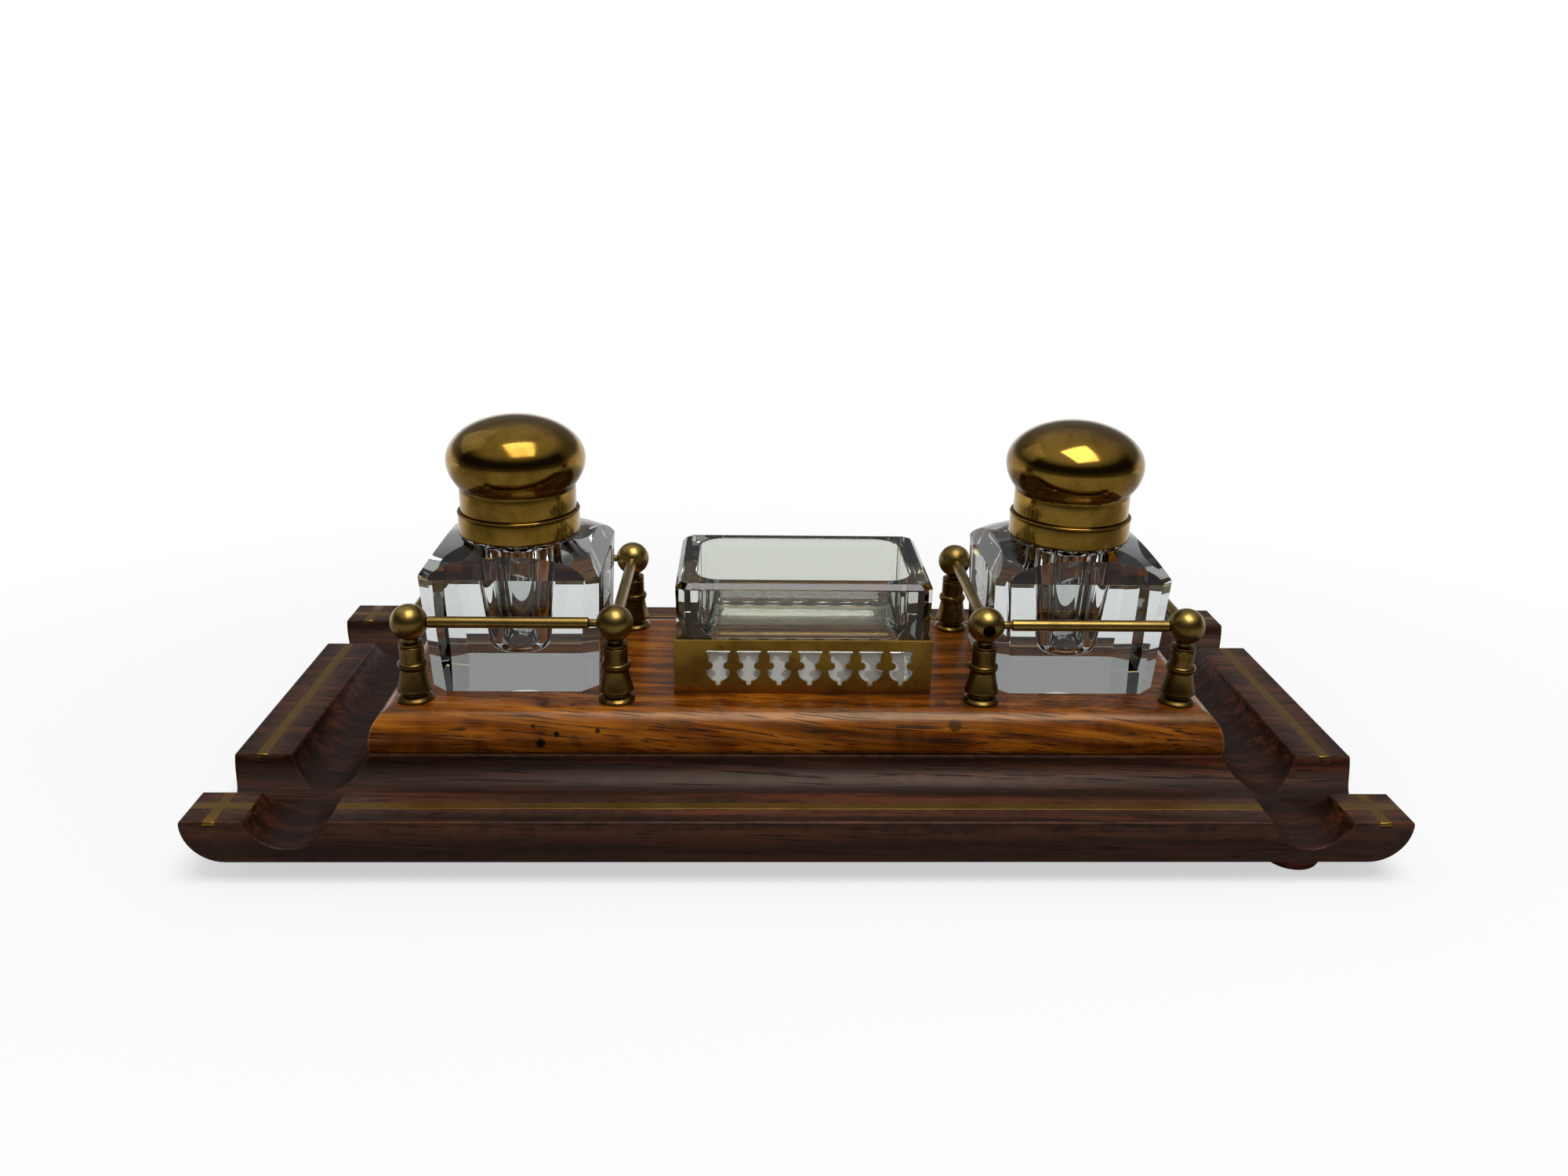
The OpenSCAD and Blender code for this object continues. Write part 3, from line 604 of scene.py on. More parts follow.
class Effects:
    """The shared shader node groups."""

    def __init__(self) -> None:
        """Builds each group once."""
        self.grain = self._grain()
        self.tarnish = self._tarnish()
        self.wear = self._wear()
        self.spot = self._spot()

    def _grain(self) -> bpy.types.NodeTree:
        """Wood grain along X: broad streaks, fine fibres and short dark pores."""
        tree, g, given, leave = new_group(
            "wood_grain",
            {"Along": 12.0, "Across": 220.0, "Sway": 0.004, "Slope": 0.0, "Seed": 0.0},
            "Streak", "Fibre", "Pore")
        where = g.where()
        drift = g.add("ShaderNodeTexNoise")
        g.put(drift.inputs["Vector"], where)
        drift.inputs["Scale"].default_value = 7.0
        drift.inputs["Detail"].default_value = 2.0
        centred = g.vector("SUBTRACT", drift.outputs["Color"], (0.5, 0.5, 0.5))
        rise = g.math("MULTIPLY", g.axis("X", where), given["Slope"])
        leaned = g.vector("ADD", where, g.combine(y=rise, z=rise))
        moved = g.vector("ADD", leaned, g.vector("SCALE", centred, given["Sway"]))
        for name, along, across, detail, low, high in (
                ("Streak", 1.0, 1.0, 5.0, 0.3, 0.7), ("Fibre", 2.5, 3.5, 3.0, 0.3, 0.7),
                ("Pore", 3.0, 5.0, 2.0, 0.54, 0.64)):
            wide = g.math("MULTIPLY", given["Across"], across)
            scale = g.combine(g.math("MULTIPLY", given["Along"], along), wide, wide)
            lattice = g.add("ShaderNodeTexNoise", noise_dimensions="4D")
            g.put(lattice.inputs["Vector"], g.vector("MULTIPLY", moved, scale))
            g.put(lattice.inputs["W"], given["Seed"])
            lattice.inputs["Scale"].default_value = 1.0
            lattice.inputs["Detail"].default_value = detail
            lattice.inputs["Roughness"].default_value = 0.6
            g.put(leave.inputs[name], g.span(lattice.outputs["Fac"], low, high))
        return tree

    def _tarnish(self) -> bpy.types.NodeTree:
        """Uneven tarnish: soft clouds, small specks and the two together as a height."""
        tree, g, given, leave = new_group(
            "tarnish", {"Cloud scale": 60.0, "Speck scale": 700.0, "Amount": 0.5},
            "Cloud", "Speck", "Height")
        where, amount = g.where(), given["Amount"]
        clouds = g.noise(where, given["Cloud scale"], 6.0, 0.6)
        dots = g.noise(where, given["Speck scale"], 3.0, 0.5)
        cloud = g.math("MULTIPLY", g.span(clouds, 0.32, 0.7), amount, True)
        g.put(leave.inputs["Cloud"], cloud)
        g.put(leave.inputs["Speck"], g.math("MULTIPLY", g.span(dots, 0.62, 0.74), amount, True))
        g.put(leave.inputs["Height"], g.math("ADD", g.math("MULTIPLY", cloud, 0.4), dots))
        return tree

    def _spot(self) -> bpy.types.NodeTree:
        """One ragged ink mark round a point."""
        tree, g, given, leave = new_group(
            "ink_spot", {"X": 0.0, "Y": 0.0, "Z": 0.0, "Radius": 0.002, "Depth": 1.0}, "Mark")
        where = g.where()
        gap = g.add("ShaderNodeVectorMath", operation="DISTANCE")
        g.put(gap.inputs[0], where)
        g.put(gap.inputs[1], g.combine(given["X"], given["Y"], given["Z"]))
        ragged = g.math("MULTIPLY", g.noise(where, 900.0, 3.0, 0.6), 0.9)
        ratio = g.math("ADD", g.math("DIVIDE", gap.outputs["Value"], given["Radius"]), ragged)
        inked = g.span(ratio, 1.25, 1.6, 1.0, 0.0)
        g.put(leave.inputs["Mark"], g.math("MULTIPLY", inked, given["Depth"]))
        return tree

    def _wear(self) -> bpy.types.NodeTree:
        """Wear on proud edges and dirt in hollows, broken up by noise."""
        tree, g, given, leave = new_group(
            "edge_wear", {"Breakup": 260.0, "Rub": 1.0, "Dirt": 1.0}, "Rubbed", "Dirty")
        broken = g.span(g.noise(g.where(), given["Breakup"], 4.0, 0.5), 0.3, 0.65, 0.25, 1.0)
        edge = g.arris()
        for name, part, given_by in (("Rubbed", edge, "Rub"),
                                     ("Dirty", g.math("MULTIPLY", edge, -1.0), "Dirt")):
            marked = g.math("MULTIPLY", g.math("MAXIMUM", part, 0.0), given[given_by])
            g.put(leave.inputs[name], g.math("MULTIPLY", marked, broken, True))
        return tree


# Dirt in the wood's hollows and ink on it, as display colours
DIRT, INK = "120b08", "0c0806"


def new_material(name: str) -> tuple[bpy.types.Material, Graph]:
    """An empty node material and its graph."""
    material = bpy.data.materials.new(name)
    material.use_nodes = True
    return material, Graph(material.node_tree)


@dataclass(frozen=True)
class Wood:
    """A waxed or polished wood with grain along X.

    Each colour is a display colour; scales are cycles per metre. The slope leans the grain, the
    figure is the share of a curl across it, and the warmth tints the gloss. A painted shade darkens
    the wood over the last millimetres below a given height, in metres, so that the grooves and the
    board's sides look shaded. A spot is an ink mark: its place and radius in millimetres, and how
    dark it is.
    """

    name: str
    dark: str
    middle: str
    light: str
    pore: str
    worn: str
    along: float
    across: float
    sway: float
    seed: float
    gloss: float
    coat: float
    shine: float = 0.35
    warmth: Colour = (1.0, 1.0, 1.0, 1.0)
    slope: float = 0.0
    figure: float = 0.0
    sunk: float = 0.0
    spots: tuple[tuple[float, float, float, float, float], ...] = ()

    def build(self, effects: Effects) -> bpy.types.Material:
        """Makes the material.

        Args:
            effects: the shared node groups.
        Returns:
            the material.
        """
        material, g = new_material(self.name)
        grain = g.group(effects.grain, along=self.along, across=self.across, sway=self.sway,
                        slope=self.slope, seed=self.seed)
        streak, fibre, pore = (grain.outputs[name] for name in ("Streak", "Fibre", "Pore"))
        wear = g.group(effects.wear, breakup=300.0, rub=0.75, dirt=0.7)
        broad = g.noise(g.place((3.0, 14.0, 14.0), (self.seed, 0, 0)), 1.0, 3.0, 0.5)
        tint = g.math("ADD", g.math("MULTIPLY", streak, 0.55), g.math("MULTIPLY", broad, 0.45))
        colour = g.ramp(tint, [(0.22, tone(self.dark)), (0.5, tone(self.middle)),
                               (0.78, tone(self.light))])
        colour = g.cover(colour, fibre, 0.42, self.dark)
        if self.figure:
            curl = g.noise(g.place((90.0, 16.0, 30.0), (0, self.seed, 0)), 1.0, 2.0, 0.5, 0.6)
            colour = g.mix(g.span(curl, 0.38, 0.62, 0.0, self.figure), colour, tone(self.light))
        colour = g.cover(colour, pore, 0.9, self.pore)
        colour = g.cover(colour, wear.outputs["Rubbed"], 0.55, self.worn)
        colour = g.cover(colour, wear.outputs["Dirty"], 0.7, DIRT)
        # Painted shade: from 1 mm to 9 mm under the given height the colour goes up to 60% of the
        # way to the dark colour, darkening the grooves and the sides
        if self.sunk:
            shade = g.span(g.axis("Z", g.place()), self.sunk - 0.009, self.sunk - 0.001, 0.6, 0.0)
            colour = g.mix(shade, colour, tone(self.dark))
        for x, y, z, radius, depth in self.spots:
            spot = g.group(effects.spot, x=x * MM, y=y * MM, z=z * MM, radius=radius * MM,
                           depth=depth)
            colour = g.mix(spot.outputs["Mark"], colour, tone(INK))
        uneven = g.math("MULTIPLY", g.noise(g.place(), 140.0, 4.0, 0.6), 0.22)
        rough = g.math("ADD", g.math("ADD", uneven, self.gloss - 0.08),
                       g.math("MULTIPLY", pore, 0.25))
        height = g.math("SUBTRACT", g.math("MULTIPLY", fibre, 0.35), pore)
        shader = g.principled(Base_Color=colour, Roughness=rough, Coat_Weight=self.coat,
                              Coat_Roughness=0.16, Normal=g.bump(height, 0.5, 0.05))
        shader.inputs["IOR"].default_value = 1.48
        shader.inputs["Specular IOR Level"].default_value = self.shine
        shader.inputs["Specular Tint"].default_value = self.warmth
        g.output(shader.outputs[0])
        return material


@dataclass(frozen=True)
class Brass:
    """A tarnished metal: its clean, tarnished and dirty display colours, and the lathe's lines."""

    name: str
    bright: str
    dull: str
    hollow: str
    rough: float
    tarnish: float
    lines: float = 0.0
    line_scale: float = 2600.0

    def build(self, effects: Effects) -> bpy.types.Material:
        """Makes the material.

        Args:
            effects: the shared node groups.
        Returns:
            the material.
        """
        material, g = new_material(self.name)
        film = g.group(effects.tarnish, cloud_scale=75.0, speck_scale=900.0, amount=self.tarnish)
        wear = g.group(effects.wear, breakup=500.0, rub=0.9, dirt=1.0)
        colour = g.mix(film.outputs["Cloud"], tone(self.bright), tone(self.dull))
        colour = g.cover(colour, film.outputs["Speck"], 0.6, self.hollow)
        colour = g.cover(colour, wear.outputs["Rubbed"], 0.5, self.bright)
        colour = g.cover(colour, wear.outputs["Dirty"], 0.9, self.hollow)
        rough = g.math("ADD", g.math("MULTIPLY", film.outputs["Cloud"], 0.12), self.rough)
        rough = g.math("ADD", rough, g.math("MULTIPLY", wear.outputs["Dirty"], 0.3))
        height = g.math("MULTIPLY", film.outputs["Height"], 0.12)
        if self.lines:
            marks = g.noise(g.place((4.0, 4.0, self.line_scale)), 1.0, 2.0, 0.6)
            height = g.math("ADD", height, g.math("MULTIPLY", marks, self.lines))
        shader = g.principled(Base_Color=colour, Roughness=rough, Metallic=1.0,
                              Normal=g.bump(height, 0.35, 0.03))
        g.output(shader.outputs[0])
        return material


@dataclass(frozen=True)
class Glass:
    """A solid glass that lets the lamps' light through to what stands behind it.

    Its wave is the strength of the ripple. Below the height in ground, in metres, its upright
    outer walls are half a pale diffuse surface: painted light that stands in for the bright glass
    seen through the frame's openings.
    """

    name: str
    tint: Colour
    index: float = 1.5
    wave: float = 0.06
    ground: float = 0.0

    def build(self, effects: Effects) -> bpy.types.Material:
        """Makes the material.

        Args:
            effects: the shared node groups.
        Returns:
            the material.
        """
        material, g = new_material(self.name)
        smear = g.group(effects.tarnish, cloud_scale=45.0, speck_scale=1500.0, amount=0.6)
        ripple = g.noise(g.place(), 55.0, 2.0, 0.4)
        rough = g.math("MULTIPLY", smear.outputs["Speck"], 0.05)
        shader = g.principled(Base_Color=self.tint, Roughness=rough,
                              Normal=g.bump(ripple, self.wave, 0.4))
        shader.inputs["IOR"].default_value = self.index
        shader.inputs["Transmission Weight"].default_value = 1.0
        surface = shader.outputs[0]
        # Painted light: a pale diffuse share on the lower upright outer walls makes the glass
        # behind the frame's openings look bright
        if self.ground:
            geometry = g.add("ShaderNodeNewGeometry")
            lean = g.math("ABSOLUTE", g.axis("Z", geometry.outputs["Normal"]))
            upright = g.span(lean, 0.3, 0.6, 1.0, 0.0)
            outside = g.math("SUBTRACT", 1.0, geometry.outputs["Backfacing"])
            below = g.span(g.axis("Z", g.place()), self.ground - 0.0004, self.ground, 0.5, 0.0)
            share = g.math("MULTIPLY", upright, g.math("MULTIPLY", outside, below))
            painted_bright = g.add("ShaderNodeBsdfDiffuse")
            painted_bright.inputs["Color"].default_value = (0.86, 0.87, 0.84, 1.0)
            surface = g.join_shaders("ShaderNodeMixShader", surface, painted_bright.outputs[0], share)
        clear = g.add("ShaderNodeBsdfTransparent")
        clear.inputs["Color"].default_value = (0.9, 0.92, 0.91, 1.0)
        path = g.add("ShaderNodeLightPath")
        passing = g.math("MAXIMUM", path.outputs["Is Shadow Ray"], path.outputs["Is Diffuse Ray"])
        g.output(g.join_shaders("ShaderNodeMixShader", surface, clear.outputs[0], passing))
        return material


# The arris mark of an old bore's inside, dark all over
BLACKENED = -5.0

# Ink marks on the plinth: place and radius in millimetres, and how dark
INK_MARKS = (
    (-86.8, -37.6, 35.3, 2.0, 0.75), (-76.9, -38.8, 35.3, 1.2, 0.7), (-89.1, -45.9, 30.9, 0.7, 0.9),
    (-81.2, -47.0, 28.3, 1.0, 1.0), (-86.5, -47.6, 25.3, 1.5, 1.0), (-67.7, -46.5, 29.5, 0.9, 0.85),
    (-75.3, -47.4, 26.2, 2.0, 0.4), (48.2, -36.5, 35.3, 2.2, 0.55), (56.3, -36.4, 35.3, 1.7, 0.55),
    (51.9, -45.5, 31.5, 2.2, 0.7))


@dataclass
class Finishes:
    """Every finish of the stand, built once."""

    effects: Effects = field(default_factory=Effects)

    def __post_init__(self) -> None:
        """Builds the materials."""
        e = self.effects
        # The rosewood's painted shade begins just under the board's top, 21.3 mm up
        self.rosewood = Wood("waxed_rosewood", "100503", "2e140a", "5c2d18", "070201", "5e4030",
                             along=9.0, across=230.0, sway=0.010, seed=2.3, gloss=0.34, coat=0.0,
                             shine=0.28, warmth=(1.0, 0.74, 0.6, 1.0), slope=0.02,
                             sunk=0.0213).build(e)
        self.mahogany = Wood("polished_mahogany", "341302", "7a3b05", "b46a18", "1a0702", "c08a48",
                             along=12.0, across=260.0, sway=0.014, seed=7.1, gloss=0.23, coat=0.12,
                             shine=0.5, warmth=(1.0, 0.72, 0.42, 1.0), slope=0.07, figure=0.14,
                             spots=INK_MARKS).build(e)
        self.stained_wood = Wood("stained_foot_wood", "3c1408", "632610", "843a1a", "240c05",
                                 "8c4c2c", along=40.0, across=260.0, sway=0.004, seed=4.4,
                                 gloss=0.4, coat=0.2).build(e)
        self.spun_brass = Brass("spun_brass", "9e7c34", "644816", "1e1405", 0.09, 0.8).build(e)
        self.turned_brass = Brass("turned_brass", "a4884a", "665024", "181006", 0.27, 0.8,
                                  lines=0.5).build(e)
        self.aged_brass = Brass("aged_brass", "7c6230", "3e2d13", "100a04", 0.24, 0.9,
                                lines=0.5).build(e)
        self.sheet_brass = Brass("sheet_brass", "aa8638", "7a5a24", "20160a", 0.3, 0.8).build(e)
        self.inlay_brass = Brass("inlay_brass", "957236", "6e5020", "20180c", 0.32, 0.9).build(e)
        self.iron = Brass("screw_iron", "8a8884", "5c5650", "241c16", 0.36, 0.9).build(e)
        self.clear_glass = Glass("clear_cut_glass", (0.66, 0.69, 0.68, 1.0), wave=0.03).build(e)
        # The tray glass's painted light reaches 51.8 mm up, within the frame's height
        self.pale_glass = Glass("pale_pressed_glass", (0.66, 0.69, 0.63, 1.0), wave=0.08,
                                ground=0.0518).build(e)


# Geometry Nodes


class Patterns:
    """The Geometry Nodes trees, with named inputs."""

    def __init__(self) -> None:
        """Builds each tree once."""
        self.set_out = self._set_out()
        self.pierced_sheet = self._pierced_sheet()

    @staticmethod
    def _tree(name: str, inputs: Sequence[tuple[str, str, object]]) -> Started:
        """Starts a geometry tree with a geometry in and out and the given named inputs."""
        tree = bpy.data.node_groups.new(name, "GeometryNodeTree")
        tree.is_modifier = True
        through = ("Geometry", "NodeSocketGeometry")
        return start_tree(tree, [(*through, None), *inputs], [through])

    def _set_out(self) -> bpy.types.NodeTree:
        """Sets a turned or cast piece on every point, turned by its "turn" and a seeded jitter."""
        tree, g, given, leave = self._tree("set_out", [
            ("Piece", "NodeSocketObject", None), ("Size", "NodeSocketFloat", 1.0),
            ("Jitter", "NodeSocketFloat", 0.0), ("Seed", "NodeSocketInt", 1),
            ("Finish", "NodeSocketMaterial", None)])
        piece = g.add("GeometryNodeObjectInfo", transform_space="ORIGINAL")
        g.put(piece.inputs["Object"], given["Piece"])
        stored = g.add("GeometryNodeInputNamedAttribute", data_type="FLOAT")
        stored.inputs["Name"].default_value = "turn"
        chance = g.add("FunctionNodeRandomValue", data_type="FLOAT")
        for socket in chance.inputs:
            if socket.name == "Min" and socket.type == "VALUE":
                socket.default_value = -1.0
            if socket.name == "Seed":
                g.put(socket, given["Seed"])
        drawn = next(s for s in chance.outputs if s.type == "VALUE")
        angle = g.math("ADD", stored.outputs[0], g.math("MULTIPLY", drawn, given["Jitter"]))
        turn = g.add("FunctionNodeEulerToRotation")
        g.put(turn.inputs[0], g.combine(z=angle))
        copies = g.add("GeometryNodeInstanceOnPoints")
        g.put(copies.inputs["Points"], given["Geometry"])
        g.put(copies.inputs["Instance"], piece.outputs["Geometry"])
        g.put(copies.inputs["Rotation"], turn.outputs[0])
        g.put(copies.inputs["Scale"], given["Size"])
        self._close(g, copies.outputs[0], given["Finish"], leave)
        return tree

    def _pierced_sheet(self) -> bpy.types.NodeTree:
        """A flat sheet pierced by a row of openings, whose outline comes in as a loop of edges."""
        tree, g, given, leave = self._tree("pierced_sheet", [
            ("Length", "NodeSocketFloat", 0.0886), ("Height", "NodeSocketFloat", 0.0198),
            ("Thickness", "NodeSocketFloat", 0.0008), ("Openings", "NodeSocketInt", 7),
            ("Pitch", "NodeSocketFloat", 0.0105), ("Shift", "NodeSocketFloat", 0.0),
            ("Rise", "NodeSocketFloat", 0.0031), ("Finish", "NodeSocketMaterial", None)])
        outline = g.add("GeometryNodeMeshToCurve")
        g.put(outline.inputs["Mesh"], given["Geometry"])
        back = g.math("MULTIPLY", g.math("SUBTRACT", given["Openings"], 1.0), -0.5)
        first = g.math("ADD", g.math("MULTIPLY", back, given["Pitch"]), given["Shift"])
        row = g.add("GeometryNodeMeshLine")
        g.put(row.inputs["Count"], given["Openings"])
        g.put(row.inputs["Start Location"], g.combine(first, given["Rise"]))
        g.put(row.inputs["Offset"], g.combine(given["Pitch"]))
        copies = g.add("GeometryNodeInstanceOnPoints")
        g.put(copies.inputs["Points"], row.outputs[0])
        g.put(copies.inputs["Instance"], outline.outputs[0])
        cut = g.add("GeometryNodeRealizeInstances")
        g.put(cut.inputs[0], copies.outputs[0])
        edge = g.add("GeometryNodeCurvePrimitiveQuadrilateral")
        g.put(edge.inputs["Width"], given["Length"])
        g.put(edge.inputs["Height"], given["Height"])
        lift = g.combine(y=g.math("MULTIPLY", given["Height"], 0.5))
        raised = g.add("GeometryNodeTransform")
        g.put(raised.inputs["Geometry"], edge.outputs[0])
        g.put(raised.inputs["Translation"], lift)
        lines = g.add("GeometryNodeJoinGeometry")
        g.put(lines.inputs[0], cut.outputs[0])
        g.put(lines.inputs[0], raised.outputs[0])
        sheet = g.add("GeometryNodeFillCurve")
        g.put(sheet.inputs["Curve"], lines.outputs[0])
        wall = g.add("GeometryNodeExtrudeMesh", mode="FACES")
        g.put(wall.inputs["Mesh"], sheet.outputs[0])
        g.put(wall.inputs["Offset Scale"], given["Thickness"])
        wall.inputs["Individual"].default_value = False
        under = g.add("GeometryNodeFlipFaces")
        g.put(under.inputs[0], sheet.outputs[0])
        both = g.add("GeometryNodeJoinGeometry")
        g.put(both.inputs[0], wall.outputs[0])
        g.put(both.inputs[0], under.outputs[0])
        welded = g.add("GeometryNodeMergeByDistance")
        g.put(welded.inputs["Geometry"], both.outputs[0])
        welded.inputs["Distance"].default_value = 1e-6
        self._close(g, welded.outputs[0], given["Finish"], leave)
        return tree

    @staticmethod
    def _close(g: Graph, source: Socket, finish: Socket,
               leave: bpy.types.Node) -> None:
        """Ends a tree in Realize Instances and Set Material."""
        real = g.add("GeometryNodeRealizeInstances")
        g.put(real.inputs[0], source)
        paint = g.add("GeometryNodeSetMaterial")
        g.put(paint.inputs["Geometry"], real.outputs[0])
        g.put(paint.inputs["Material"], finish)
        g.put(leave.inputs["Geometry"], paint.outputs[0])

    @staticmethod
    def run(tree: bpy.types.NodeTree, mesh: bpy.types.Mesh, name: str,
            **values: object) -> bpy.types.Mesh:
        """Runs a tree on a mesh and returns the result as a plain mesh.

        Args:
            tree: the geometry tree.
            mesh: what goes into it.
            name: the result's name.
            values: its named inputs.
        Returns:
            the new mesh.
        """
        carrier = linked(name, mesh)
        modifier = carrier.modifiers.new("pattern", "NODES")
        modifier.node_group = tree
        for item in tree.interface.items_tree:
            key = item.name.lower()
            if item.item_type == "SOCKET" and item.in_out == "INPUT" and key in values:
                modifier[item.identifier] = values[key]
        result = plain_mesh(carrier)
        bpy.data.objects.remove(carrier)
        result.name = name
        return result


def stake_out(places: Sequence[tuple[Point, float]]) -> bpy.types.Mesh:
    """A mesh of loose points, each with the angle in degrees that its piece is turned by."""
    mesh = bpy.data.meshes.new("stakes")
    mesh.from_pydata([[c * MM for c in p] for p, _ in places], [], [])
    turn = mesh.attributes.new("turn", "FLOAT", "POINT")
    turn.data.foreach_set("value", [math.radians(a) for _, a in places])
    return mesh


@dataclass
class Workshop:
    """What every sub-assembly needs: the finishes and the patterns."""

    finishes: Finishes
    patterns: Patterns

    def repeat(self, template: bpy.types.Object, places: Sequence[tuple[Point, float]], name: str,
               look: bpy.types.Material, jitter: float = 0.0, seed: int = 1) -> bpy.types.Object:
        """Sets copies of a template on points and returns them as one plain object.

        Args:
            template: the piece, centred on the origin; it is removed.
            places: points in millimetres with angles in degrees.
            name: the new object's name.
            look: the finish.
            jitter: the largest extra turn, in radians.
            seed: the jitter's seed.
        Returns:
            the new object.
        """
        mesh = self.patterns.run(self.patterns.set_out, stake_out(places), name, piece=template,
                                 size=1.0, jitter=jitter, seed=seed, finish=look)
        bpy.data.objects.remove(template)
        return linked(name, mesh)


def carve(target: bpy.types.Object, tools: Sequence[bpy.types.Object], crease: float = 30.0,
          keep: bool = False) -> bpy.types.Object:
    """Cuts tools out of a piece, or keeps only what lies in all of them, for good.

    Args:
        target: the piece; it is replaced.
        tools: the cutters; they are removed.
        crease: the angle in degrees above which an edge stays sharp.
        keep: whether what lies inside the tools is kept and the rest is cut away.
    Returns:
        the carved object.
    """
    for tool in tools:
        cut = target.modifiers.new("cut", "BOOLEAN")
        cut.operation = "INTERSECT" if keep else "DIFFERENCE"
        cut.solver = "EXACT"
        cut.object = tool
    mesh = plain_mesh(target)
    name = target.name
    bpy.data.objects.remove(target)
    for tool in tools:
        bpy.data.objects.remove(tool)
    return finish_mesh(mesh, name, crease)


# Sub-assemblies


@dataclass
class Levels:
    """Heights that the sub-assemblies share."""

    foot: float = 7.5
    board: float = 13.8
    plinth: float = 14.0

    @property
    def board_top(self) -> float:
        """Top of the base board."""
        return self.foot + self.board

    @property
    def plinth_top(self) -> float:
        """Top of the plinth."""
        return self.board_top + self.plinth


